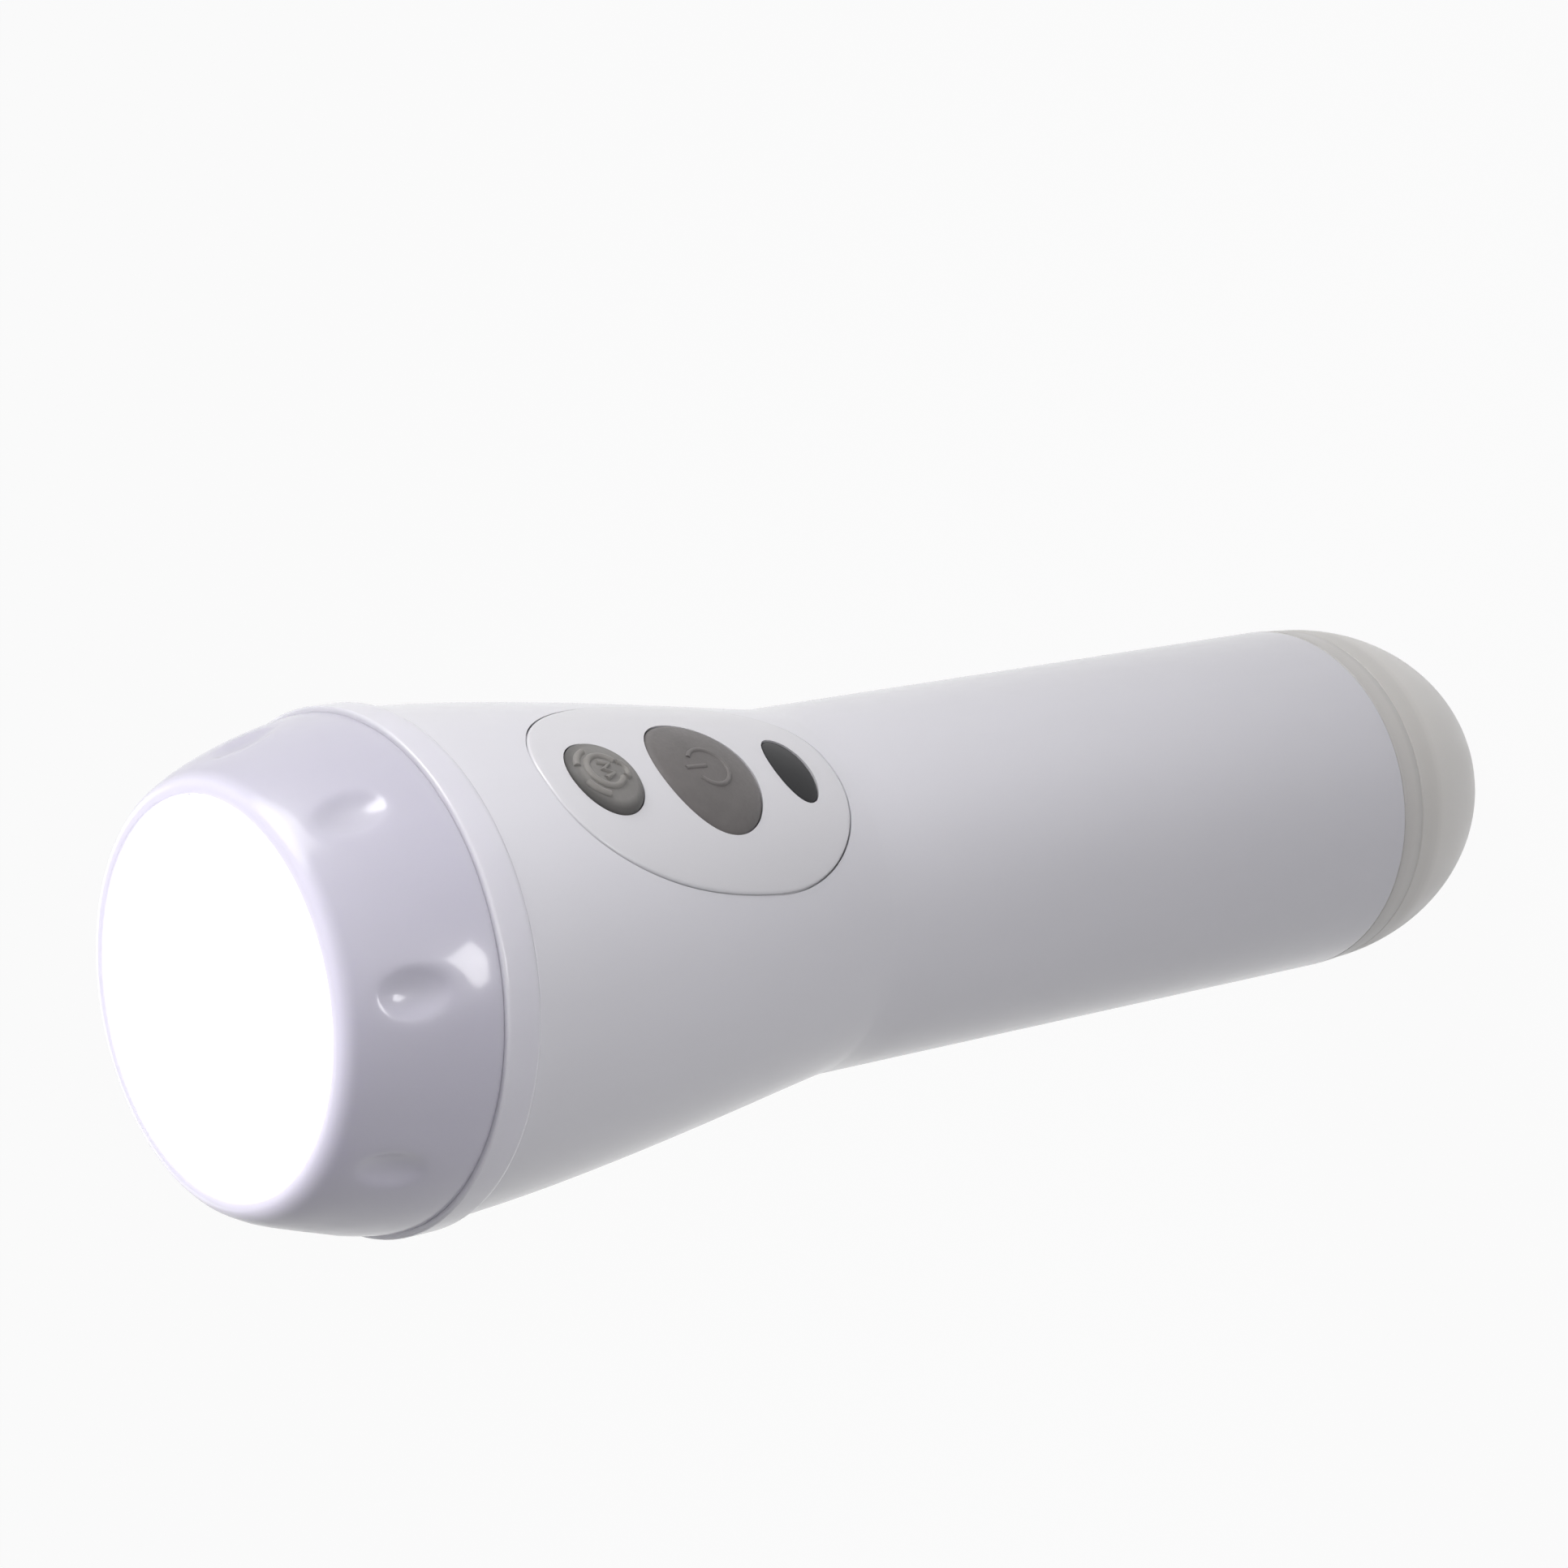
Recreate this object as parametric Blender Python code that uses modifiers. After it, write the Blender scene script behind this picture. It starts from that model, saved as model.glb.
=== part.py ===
"""Rechargeable hand torch that stands on its tail, modelled as separate pieces.

The torch's axis is +Z. The lens is at the top, the night-light dome is at the bottom and stands on
the ground at the origin, and the control panel faces -Y. All lengths are in metres.
"""

import math

import bmesh
import bpy
from mathutils import Matrix, Vector

MM = 0.001

# Clearances
SEAM = 0.3 * MM              # gap between pieces that sit on each other
EDGE_GAP = 0.4 * MM          # gap round a disc that drops into a bore
OVERRUN = 4.0 * MM           # how far a cutter runs past what it cuts

# Outer lengths; the body's own length follows from the pack and the controls in it
DOME_HEIGHT = 20.65 * MM
TAIL_RING_HEIGHT = 3.15 * MM
COLLAR_HEIGHT = 4.1 * MM
HEAD_LENGTH = 16.75 * MM
WIRING_ROOM = 17.3 * MM      # from the top of the chassis foot to the lower edge of the main board

# Steps from one outer radius to the next; the grip's own radius follows from the cells in it
TAIL_FLARE = 0.4 * MM        # tail edge of the body beyond the grip
DOME_INSET = 0.25 * MM       # dome inside the tail ring
DOME_CUT = 5.5 * MM          # what the foot cuts off the ellipse of the dome
DOME_RISE = 0.85 * MM        # the ellipse's widest place above the dome's own edge
DOME_ROWS = 6
NECK_FLARE = 6.5 * MM        # neck beyond the grip
COLLAR_PROUD = 0.75 * MM
COLLAR_ROUNDING = 0.7 * MM
HEAD_PROUD = 0.1 * MM
RIM_INSET = 5.45 * MM        # front rim inside the widest place of the head
RIM_ROUNDING = 0.5 * MM
RIM_WIDTH = 1.3 * MM         # from the front rim in to the lens seat

# The flare from the grip up to the neck
FLARE_LENGTH = 56.35 * MM
FLARE_POWER_SHARE = 1.45
FLARE_FADE_SHARE = 1.1
FLARE_ROWS = 8

# The barrel of the head
BARREL_POWER_SHARE = 1.35
BARREL_FADE_SHARE = 0.74
BARREL_ROWS = 7

# Walls
BODY_WALL = 2.2 * MM
HEAD_WALL = 1.9 * MM
MOUTH_WALL = 1.95 * MM       # wall of the body round the head's spigot
DOME_WALL = 1.8 * MM
TAIL_RING_WALL = 1.7 * MM

# Head spigot and its seal
SPIGOT_WALL = 2.2 * MM
SPIGOT_LENGTH = 13.5 * MM
SEAL_GROOVE_DEPTH = 1.3 * MM
SEAL_GROOVE_WIDTH = 1.6 * MM
SEAL_GROOVE_RISE = 3.4 * MM
SEAL_CORD_RADIUS = 0.5 * MM

# Front lens and its seat
LENS_THICKNESS = 1.6 * MM
LENS_RECESS = 0.4 * MM
GASKET_HEIGHT = 0.8 * MM
GASKET_WIDTH = 0.9 * MM
LEDGE_WIDTH = 1.4 * MM
LEDGE_HEIGHT = 1.0 * MM

# Dimples round the head
DIMPLE_COUNT = 8
DIMPLE_DROP = 7.3 * MM       # centre below the front rim
DIMPLE_DEPTH = 0.9 * MM
DIMPLE_HALF_WIDTH = 4.2 * MM
DIMPLE_HALF_LENGTH = 5.9 * MM
DIMPLE_HALF_HEIGHT = 3.0 * MM

# Reflector and light source
REFLECTOR_INSET = 0.6 * MM   # mouth of the bowl inside the lens ledge
REFLECTOR_THROAT = 4.6 * MM
REFLECTOR_WALL = 1.2 * MM
REFLECTOR_FLANGE_WIDTH = 3.0 * MM
REFLECTOR_FLANGE_HEIGHT = 1.2 * MM
REFLECTOR_FOOT = 1.4 * MM
REFLECTOR_ROWS = 6
LED_BASE_RADIUS = 3.5 * MM
LED_BASE_HEIGHT = 1.0 * MM
LED_DOME_RADIUS = 2.6 * MM
LED_BOARD_RADIUS = 10.5 * MM
LED_BOARD_HEIGHT = 1.6 * MM
SPREADER_HEIGHT = 3.0 * MM
SPREADER_BOSS_RADIUS = 11.0 * MM
SPREADER_BOSS_HEIGHT = 3.7 * MM

# Control panel, an egg outline with its wide end towards the tail
PANEL_TIP_DROP = 9.25 * MM   # top of the egg below the body's top edge
PANEL_TOP_MARGIN = 4.05 * MM
PANEL_BOTTOM_MARGIN = 4.85 * MM
PANEL_SIDE_MARGIN = 5.9 * MM
PANEL_THICKNESS = 0.9 * MM
PANEL_GROOVE = 0.3 * MM
PANEL_POWER_SHARE = 2.3
PANEL_POINTS = 32

# Buttons, measured from the panel's widest line
KEY_SPACING = 3.05 * MM
MODE_HALF_WIDTH = 5.05 * MM
MODE_HALF_HEIGHT = 4.75 * MM
POWER_RISE = 2.6 * MM
POWER_HALF_WIDTH = 8.4 * MM
POWER_HALF_HEIGHT = 7.3 * MM
BUTTON_PROUD = 1.0 * MM
BUTTON_EDGE_PROUD = 0.3 * MM
BUTTON_FLANGE_MARGIN = 0.7 * MM
BUTTON_FLANGE_HEIGHT = 1.0 * MM
BUTTON_STEM_RADIUS = 1.7 * MM
BUTTON_TRAVEL = 0.6 * MM
BUTTON_CORE = 12.0 * MM      # depth of the ellipsoid that crowns a button

# Window over the light sensor
WINDOW_SPACING = 3.45 * MM
WINDOW_HALF_WIDTH = 4.8 * MM
WINDOW_HALF_HEIGHT = 2.8 * MM
WINDOW_PROUD = 0.1 * MM

# Main board and what is on it
BOARD_THICKNESS = 1.6 * MM
BOARD_EDGE_GAP = 0.88 * MM   # from the board's side edges to the body's wall
BOARD_TOP_GAP = 0.5 * MM
BOARD_BOTTOM_MARGIN = 3.95 * MM
STEM_ROOM = 1.0 * MM         # from the stem's tip to the back of the power button
SENSOR_GAP = 0.6 * MM
SWITCH_HALF_WIDTH = 3.1 * MM
SWITCH_HEIGHT = 2.6 * MM
SWITCH_WELL = 1.8 * MM
PLUNGER_RADIUS = 1.6 * MM
PLUNGER_CLEARANCE = 0.3 * MM
PLUNGER_PROUD = 1.2 * MM
SENSOR_RADIUS = 2.4 * MM
SENSOR_HEIGHT = 3.0 * MM
SCREW_RADIUS = 1.0 * MM
SCREW_HEAD_RADIUS = 1.9 * MM
SCREW_HEAD_HEIGHT = 1.2 * MM
SCREW_LENGTH = 4.2 * MM
SCREW_CLEARANCE = 0.3 * MM
SCREW_INSET = 3.2 * MM

# Chassis
CHASSIS_TOP_HEIGHT = 2.0 * MM
CHASSIS_TOP_GAP = 0.55 * MM
CHASSIS_TOP_DROP = 13.55 * MM   # top face of the chassis below the body's top edge
CHASSIS_FOOT_HEIGHT = 2.0 * MM
RAIL_WIDTH = 3.0 * MM
RAIL_DEPTH = 4.6 * MM
RAIL_INSET = 2.6 * MM        # middle of a rail from the side edge of the board
WIRE_HOLE_RADIUS = 1.0 * MM

# Battery pack
CELL_RADIUS = 7.1 * MM
CELL_LENGTH = 48.0 * MM
CELL_NUB_RADIUS = 2.7 * MM
CELL_NUB_HEIGHT = 1.4 * MM
CELL_EDGE = 0.6 * MM
CELL_SPACING = 0.9 * MM
CELL_COUNT = 3
POCKET_DEPTH = 5.0 * MM
HOLDER_FLOOR = 2.0 * MM
HOLDER_RIM = 3.032 * MM      # thinnest wall round a pocket
RIB_HALF_WIDTH = 1.5 * MM
RIB_INNER = 10.0 * MM
SPRING_WIRE = 0.35 * MM
SPRING_FOOT_RADIUS = 5.4 * MM
SPRING_TIP_RADIUS = 3.2 * MM
SPRING_HEIGHT = 4.2 * MM
SPRING_TURNS = 3
SPRING_POINTS_PER_TURN = 10
PLATE_RADIUS = 5.6 * MM
PLATE_HEIGHT = 0.5 * MM

# Tail
TAIL_SPIGOT_LENGTH = 8.9 * MM
BULKHEAD_HEIGHT = 3.0 * MM
DOME_SPIGOT_LENGTH = 6.3 * MM
POST_RADIUS = 2.6 * MM
POST_INSET = 4.55 * MM       # centre of a post from the edge of the night board
TAIL_SCREW_COUNT = 3
TAIL_SCREW_LENGTH = 6.5 * MM
NIGHT_BOARD_HEIGHT = 1.6 * MM
NIGHT_BOARD_DROP = 1.25 * MM     # top face of the night board below the dome's edge
NIGHT_LED_COUNT = 3
NIGHT_LED_HALF = 1.7 * MM
NIGHT_LED_HEIGHT = 1.9 * MM
NIGHT_LED_INSET = 3.45 * MM  # centre of a light from the edge of the night board
COIL_GAP = 1.83 * MM         # from the coil to the dome's wall
COIL_INNER = 5.0 * MM
COIL_HEIGHT = 2.0 * MM
FERRITE_HEIGHT = 1.2 * MM
CARRIER_DISC_HEIGHT = 1.5 * MM
CARRIER_POST_RADIUS = 4.0 * MM

# Wires
WIRE_RADIUS = 0.6 * MM
WIRE_BEVEL_COUNT = 2
WIRE_BEND = 3.0 * MM
LED_WIRE_SPREAD = 3.6 * MM
LED_WIRE_REACH = 8.3 * MM    # distance from the axis at which the head wires end on the LED board
LED_WIRE_DROP = 8.5 * MM     # start of the head wires below the top of the main board
PACK_WIRE_SPREAD = 2.6 * MM
PACK_WIRE_FRONT = 4.8 * MM   # how far in front of the axis the pack wires rise
PACK_WIRE_RISE = 5.5 * MM    # end of the pack wires above the foot of the main board
TAIL_WIRE_GAP = 0.35 * MM    # from a tail wire to the bore of the dome's spigot
TAIL_WIRE_ANGLE = math.radians(47.0)
TAIL_WIRE_SPREAD = 5.6 * MM
TAIL_WIRE_RUN = 8.0 * MM     # straight run of the tail wires above the pack
TAIL_WIRE_RISE = 2.5 * MM    # end of the tail wires above the foot of the main board
COIL_LEAD_COUNT = 2
COIL_LEAD_INSET = 2.45 * MM  # centre of a coil lead from the edge of the night board

# How finely round things are divided
FINE_COUNT = 36
ROUND_COUNT = 24
SMALL_COUNT = 12
MERGE = 0.01 * MM
SHARP_ANGLE = math.radians(32.0)

# Heights along the axis, worked out from the sizes above
PANEL_HALF_WIDTH = POWER_HALF_WIDTH + PANEL_SIDE_MARGIN
MODE_RISE = POWER_RISE + POWER_HALF_HEIGHT + KEY_SPACING + MODE_HALF_HEIGHT
PANEL_UPPER = MODE_RISE + MODE_HALF_HEIGHT + PANEL_TOP_MARGIN
WINDOW_FALL = POWER_HALF_HEIGHT - POWER_RISE + WINDOW_SPACING + WINDOW_HALF_HEIGHT
PANEL_LOWER = WINDOW_FALL + WINDOW_HALF_HEIGHT + PANEL_BOTTOM_MARGIN
BOARD_BOTTOM_FALL = WINDOW_FALL + SENSOR_RADIUS + BOARD_BOTTOM_MARGIN
DOME_TOP = DOME_HEIGHT
RING_BOTTOM = DOME_TOP + SEAM
RING_TOP = RING_BOTTOM + TAIL_RING_HEIGHT
BODY_BOTTOM = RING_TOP + SEAM
TAIL_SPIGOT_TOP = RING_TOP + TAIL_SPIGOT_LENGTH
BULKHEAD_BOTTOM = TAIL_SPIGOT_TOP + SEAM
BULKHEAD_TOP = BULKHEAD_BOTTOM + BULKHEAD_HEIGHT
HOLDER_BOTTOM = BULKHEAD_TOP + SEAM
POCKET_FLOOR = HOLDER_BOTTOM + HOLDER_FLOOR
CELL_BOTTOM = POCKET_FLOOR + SEAM + SPRING_HEIGHT + SEAM
CELL_TOP = CELL_BOTTOM + CELL_LENGTH
NUB_TOP = CELL_TOP + CELL_NUB_HEIGHT
POCKET_CEILING = NUB_TOP + SEAM + PLATE_HEIGHT + SEAM
HOLDER_TOP = POCKET_CEILING + HOLDER_FLOOR
CHASSIS_FOOT_BOTTOM = HOLDER_TOP + SEAM
BOARD_BOTTOM = CHASSIS_FOOT_BOTTOM + CHASSIS_FOOT_HEIGHT + WIRING_ROOM
PANEL_LINE = BOARD_BOTTOM + BOARD_BOTTOM_FALL
MODE_HEIGHT = PANEL_LINE + MODE_RISE
POWER_HEIGHT = PANEL_LINE + POWER_RISE
WINDOW_HEIGHT = PANEL_LINE - WINDOW_FALL
BODY_TOP = PANEL_LINE + PANEL_UPPER + PANEL_TIP_DROP
BODY_LENGTH = BODY_TOP - BODY_BOTTOM
CHASSIS_TOP = BODY_TOP - CHASSIS_TOP_DROP + CHASSIS_TOP_HEIGHT
BOARD_TOP = CHASSIS_TOP - CHASSIS_TOP_HEIGHT - BOARD_TOP_GAP
COLLAR_BOTTOM = BODY_TOP + SEAM
COLLAR_TOP = COLLAR_BOTTOM + COLLAR_HEIGHT
HEAD_BOTTOM = COLLAR_TOP + SEAM
HEAD_TOP = HEAD_BOTTOM + HEAD_LENGTH
SPIGOT_BOTTOM = HEAD_BOTTOM - SPIGOT_LENGTH
MOUTH_BOTTOM = SPIGOT_BOTTOM - SEAM
LENS_TOP = HEAD_TOP - LENS_RECESS
LENS_BOTTOM = LENS_TOP - LENS_THICKNESS
GASKET_TOP = LENS_BOTTOM - SEAM
LEDGE_TOP = GASKET_TOP - GASKET_HEIGHT - SEAM
LEDGE_BOTTOM = LEDGE_TOP - LEDGE_HEIGHT
FLANGE_TOP = LEDGE_BOTTOM - SEAM
SPREADER_BOTTOM = CHASSIS_TOP + SEAM
SPREADER_TOP = SPREADER_BOTTOM + SPREADER_HEIGHT + SPREADER_BOSS_HEIGHT
LED_BOARD_BOTTOM = SPREADER_TOP + SEAM
LED_BOARD_TOP = LED_BOARD_BOTTOM + LED_BOARD_HEIGHT
LED_BOTTOM = LED_BOARD_TOP + SEAM
NIGHT_BOARD_TOP = DOME_TOP - NIGHT_BOARD_DROP
NIGHT_BOARD_BOTTOM = NIGHT_BOARD_TOP - NIGHT_BOARD_HEIGHT
COIL_BOTTOM = DOME_WALL + SEAM
COIL_TOP = COIL_BOTTOM + COIL_HEIGHT
FERRITE_BOTTOM = COIL_TOP + SEAM
FERRITE_TOP = FERRITE_BOTTOM + FERRITE_HEIGHT
CARRIER_BOTTOM = FERRITE_TOP + SEAM
CARRIER_TOP = NIGHT_BOARD_BOTTOM - SEAM
LED_WIRE_HEIGHT = BOARD_TOP - LED_WIRE_DROP
PACK_WIRE_HEIGHT = BOARD_BOTTOM + PACK_WIRE_RISE
TAIL_WIRE_TURN = HOLDER_TOP + TAIL_WIRE_RUN
TAIL_WIRE_HEIGHT = BOARD_BOTTOM + TAIL_WIRE_RISE

# Radii, from the cells outwards
POCKET_RADIUS = CELL_RADIUS + SEAM
CELL_CIRCLE = (2.0 * CELL_RADIUS + CELL_SPACING) / math.sqrt(3.0)
INNER_DISC_RADIUS = CELL_CIRCLE + POCKET_RADIUS + HOLDER_RIM
TAIL_BORE = INNER_DISC_RADIUS + EDGE_GAP
GRIP_RADIUS = TAIL_BORE + BODY_WALL
TAIL_RADIUS = GRIP_RADIUS + TAIL_FLARE
DOME_RADIUS = TAIL_RADIUS - DOME_INSET
DOME_DEPTH = DOME_HEIGHT + DOME_RISE + DOME_CUT
NECK_RADIUS = GRIP_RADIUS + NECK_FLARE
COLLAR_RADIUS = NECK_RADIUS + COLLAR_PROUD
HEAD_RADIUS = NECK_RADIUS + HEAD_PROUD
RIM_RADIUS = HEAD_RADIUS - RIM_INSET
LENS_RADIUS = RIM_RADIUS - RIM_WIDTH - SEAM
SPIGOT_RADIUS = NECK_RADIUS - MOUTH_WALL - SEAM
MOUTH_RADIUS = SPIGOT_RADIUS + SEAM
REFLECTOR_MOUTH = LENS_RADIUS + SEAM - LEDGE_WIDTH - REFLECTOR_INSET
REFLECTOR_FLANGE = REFLECTOR_MOUTH + REFLECTOR_FLANGE_WIDTH
TAIL_SPIGOT_RADIUS = TAIL_BORE - SEAM
TAIL_RING_BORE = TAIL_SPIGOT_RADIUS - TAIL_RING_WALL
DOME_SPIGOT_RADIUS = TAIL_RING_BORE - SEAM
DOME_BORE = DOME_SPIGOT_RADIUS - DOME_WALL
NIGHT_BOARD_RADIUS = DOME_BORE - EDGE_GAP
POST_CIRCLE = NIGHT_BOARD_RADIUS - POST_INSET
NIGHT_LED_CIRCLE = NIGHT_BOARD_RADIUS - NIGHT_LED_INSET
COIL_LEAD_CIRCLE = NIGHT_BOARD_RADIUS - COIL_LEAD_INSET
TAIL_WIRE_CIRCLE = DOME_BORE - WIRE_RADIUS - TAIL_WIRE_GAP


def body_radius(height):
    """Outer radius of the body at a height: a straight grip that flares up to the neck."""
    fall = BODY_TOP - height
    if fall < FLARE_LENGTH:
        share = max(fall, 0.0) / FLARE_LENGTH
        swell = (1.0 - share ** FLARE_POWER_SHARE) ** FLARE_FADE_SHARE
        return GRIP_RADIUS + (NECK_RADIUS - GRIP_RADIUS) * swell
    share = (fall - FLARE_LENGTH) / (BODY_LENGTH - FLARE_LENGTH)
    return GRIP_RADIUS + (TAIL_RADIUS - GRIP_RADIUS) * share


def head_radius(height):
    """Outer radius of the barrel-shaped head at a height."""
    share = min(max((height - HEAD_BOTTOM) / HEAD_LENGTH, 0.0), 1.0)
    swell = (1.0 - share ** BARREL_POWER_SHARE) ** BARREL_FADE_SHARE
    return RIM_RADIUS + (HEAD_RADIUS - RIM_RADIUS) * swell


def dome_radius(height, offset):
    """Radius of the tail dome at a height, drawn in by an offset for its inner face."""
    share = (DOME_TOP + DOME_RISE - height) / (DOME_DEPTH - offset)
    return (DOME_RADIUS - offset) * math.sqrt(max(1.0 - share * share, 0.0))


def flange_back(half_width, half_height, height):
    """Distance from the axis of the flat back of a button's flange."""
    lowest = body_radius(height - half_height - BUTTON_FLANGE_MARGIN)
    middle = body_radius(height)
    under = PANEL_THICKNESS + SEAM
    beside = math.sqrt((middle - under) ** 2 - (half_width + BUTTON_FLANGE_MARGIN) ** 2)
    return min(lowest - under, beside) - BUTTON_FLANGE_HEIGHT


# Sizes that follow from the curved walls
POWER_BACK = flange_back(POWER_HALF_WIDTH, POWER_HALF_HEIGHT, POWER_HEIGHT)
MODE_BACK = flange_back(MODE_HALF_WIDTH, MODE_HALF_HEIGHT, MODE_HEIGHT)
WINDOW_BACK = flange_back(WINDOW_HALF_WIDTH, WINDOW_HALF_HEIGHT, WINDOW_HEIGHT)
SWITCH_STACK = SEAM + SWITCH_HEIGHT + PLUNGER_PROUD + SEAM + STEM_ROOM
SENSOR_STACK = SEAM + SENSOR_HEIGHT + SENSOR_GAP
BOARD_FRONT = min(min(POWER_BACK, MODE_BACK) - SWITCH_STACK, WINDOW_BACK - SENSOR_STACK)
BOARD_BACK = BOARD_FRONT - BOARD_THICKNESS
BOARD_REACH = body_radius(BOARD_BOTTOM) - BODY_WALL - BOARD_EDGE_GAP
BOARD_HALF_WIDTH = math.sqrt(BOARD_REACH ** 2 - BOARD_FRONT ** 2)
RAIL_CENTRE = BOARD_HALF_WIDTH - RAIL_INSET
CHASSIS_TOP_RADIUS = body_radius(CHASSIS_TOP - CHASSIS_TOP_HEIGHT) - BODY_WALL - CHASSIS_TOP_GAP
COIL_OUTER = dome_radius(COIL_BOTTOM, DOME_WALL) - COIL_GAP
COIL_DISC_RADIUS = COIL_OUTER + EDGE_GAP


def heights(low, high, rows):
    """Evenly spaced heights from low to high, both ends included."""
    return [low + (high - low) * row / rows for row in range(rows + 1)]


def clear_scene():
    """Removes what the scene starts with."""
    for item in list(bpy.data.objects):
        bpy.data.objects.remove(item, do_unlink=True)


def new_collection(name):
    """Makes a collection under the scene's own."""
    group = bpy.data.collections.new(name)
    bpy.context.scene.collection.children.link(group)
    return group


def new_material(name, colour, roughness, metallic=0.0, transmission=0.0):
    """Makes a Principled material."""
    material = bpy.data.materials.new(name)
    material.use_nodes = True
    shader = material.node_tree.nodes["Principled BSDF"]
    shader.inputs["Base Color"].default_value = (*colour, 1.0)
    shader.inputs["Roughness"].default_value = roughness
    shader.inputs["Metallic"].default_value = metallic
    shader.inputs["Transmission Weight"].default_value = transmission
    material.diffuse_color = (*colour, 1.0)
    return material


class Workshop:
    """Holds the collections, the materials and the empty that carries the whole torch."""

    def __init__(self):
        self.parts = new_collection("rechargeable_torch")
        self.cutters = new_collection("cutters")
        self.axis = bpy.data.objects.new("torch_axis", None)
        self.parts.objects.link(self.axis)
        self.white = new_material("white_gloss_plastic", (0.80, 0.80, 0.82), 0.22)
        self.milky = new_material("milky_plastic", (0.74, 0.74, 0.78), 0.25, transmission=0.3)
        self.frosted = new_material("frosted_plastic", (0.72, 0.72, 0.69), 0.35, transmission=0.4)
        self.lens = new_material("lens_plastic", (0.95, 0.95, 0.97), 0.2, transmission=0.6)
        self.grey_rubber = new_material("grey_rubber", (0.19, 0.18, 0.17), 0.6)
        self.dark_rubber = new_material("dark_rubber", (0.03, 0.03, 0.03), 0.6)
        self.smoked = new_material("smoked_plastic", (0.02, 0.02, 0.025), 0.15)
        self.mirror = new_material("reflector_metal", (0.85, 0.85, 0.86), 0.08, metallic=1.0)
        self.steel = new_material("spring_steel", (0.55, 0.55, 0.56), 0.3, metallic=1.0)
        self.aluminium = new_material("aluminium", (0.68, 0.69, 0.70), 0.4, metallic=1.0)
        self.copper = new_material("copper_winding", (0.60, 0.27, 0.10), 0.35, metallic=1.0)
        self.board = new_material("board_green", (0.03, 0.20, 0.08), 0.45)
        self.inner = new_material("inner_plastic", (0.55, 0.55, 0.56), 0.5)
        self.black = new_material("black_plastic", (0.03, 0.03, 0.03), 0.45)
        self.cell = new_material("cell_wrap", (0.05, 0.28, 0.30), 0.35)
        self.ferrite = new_material("ferrite", (0.05, 0.05, 0.05), 0.7)
        self.phosphor = new_material("led_phosphor", (0.85, 0.72, 0.25), 0.3)
        self.red = new_material("wire_red", (0.55, 0.03, 0.02), 0.45)
        self.dark = new_material("wire_black", (0.03, 0.03, 0.03), 0.45)

    def place(self, name, mesh, material, location=(0.0, 0.0, 0.0), parent=None):
        """Puts a mesh into the part as a named piece."""
        piece = bpy.data.objects.new(name, mesh)
        self.parts.objects.link(piece)
        piece.location = location
        piece.parent = parent or self.axis
        mesh.materials.append(material)
        mesh.shade_smooth()
        mesh.set_sharp_from_angle(angle=SHARP_ANGLE)
        return piece

    def tool(self, name, mesh, location=(0.0, 0.0, 0.0)):
        """Puts a mesh into the cutters' collection, out of the finished part."""
        cutter = bpy.data.objects.new(name, mesh)
        self.cutters.objects.link(cutter)
        cutter.location = location
        cutter.hide_render = True
        cutter.display_type = "WIRE"
        return cutter


def combine(piece, other, operation):
    """Adds a Boolean of another object to a piece."""
    modifier = piece.modifiers.new(operation.lower(), "BOOLEAN")
    modifier.object = other
    modifier.operation = operation
    modifier.solver = "EXACT"


def turn(piece, steps):
    """Turns a piece's profile round Z with a Screw modifier."""
    screw = piece.modifiers.new("turned", "SCREW")
    screw.axis = "Z"
    screw.angle = 2.0 * math.pi
    screw.steps = steps
    screw.render_steps = steps
    screw.use_merge_vertices = True
    screw.merge_threshold = MERGE
    screw.use_smooth_shade = True


def profile_mesh(name, points, base, closed=True):
    """A mesh of edges through (radius, height) points, with heights counted from base."""
    mesh = bpy.data.meshes.new(name)
    corners = [(radius, 0.0, height - base) for radius, height in points]
    edges = [(index, index + 1) for index in range(len(points) - 1)]
    if closed:
        edges.append((len(points) - 1, 0))
    mesh.from_pydata(corners, edges, [])
    return mesh


def turned(shop, name, points, material, base, steps=ROUND_COUNT, closed=True):
    """A turned piece, whose profile runs down its outer side."""
    piece = shop.place(name, profile_mesh(name, points, base, closed), material, (0.0, 0.0, base))
    turn(piece, steps)
    return piece


def turned_tool(shop, name, points, base, steps=ROUND_COUNT, closed=True):
    """A turned cutter."""
    cutter = shop.tool(name, profile_mesh(name, points, base, closed), (0.0, 0.0, base))
    turn(cutter, steps)
    return cutter


def cone_mesh(name, lower_radius, upper_radius, height, segments, centre=(0.0, 0.0)):
    """A round or tapered bar that stands on z = 0."""
    bm = bmesh.new()
    bmesh.ops.create_cone(bm, cap_ends=True, segments=segments, radius1=lower_radius, radius2=upper_radius,
                          depth=height, matrix=Matrix.Translation((centre[0], centre[1], height / 2.0)))
    mesh = bpy.data.meshes.new(name)
    bm.to_mesh(mesh)
    bm.free()
    return mesh


def rod_mesh(name, radius, height, segments=SMALL_COUNT, centre=(0.0, 0.0)):
    """A round bar that stands on z = 0."""
    return cone_mesh(name, radius, radius, height, segments, centre)


def box_mesh(name, size, centre=(0.0, 0.0, 0.0)):
    """A box of a given size round a centre."""
    bm = bmesh.new()
    bmesh.ops.create_cube(bm, size=1.0)
    bmesh.ops.scale(bm, vec=size, verts=bm.verts)
    bmesh.ops.translate(bm, vec=centre, verts=bm.verts)
    mesh = bpy.data.meshes.new(name)
    bm.to_mesh(mesh)
    bm.free()
    return mesh


def facing_panel(mesh, front, height):
    """Turns a bar that stands along +Z to point out of the panel, along -Y, from y = -front."""
    mesh.transform(Matrix.Rotation(math.radians(90.0), 4, "X"))
    mesh.transform(Matrix.Translation((0.0, -front, height)))
    return mesh


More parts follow.
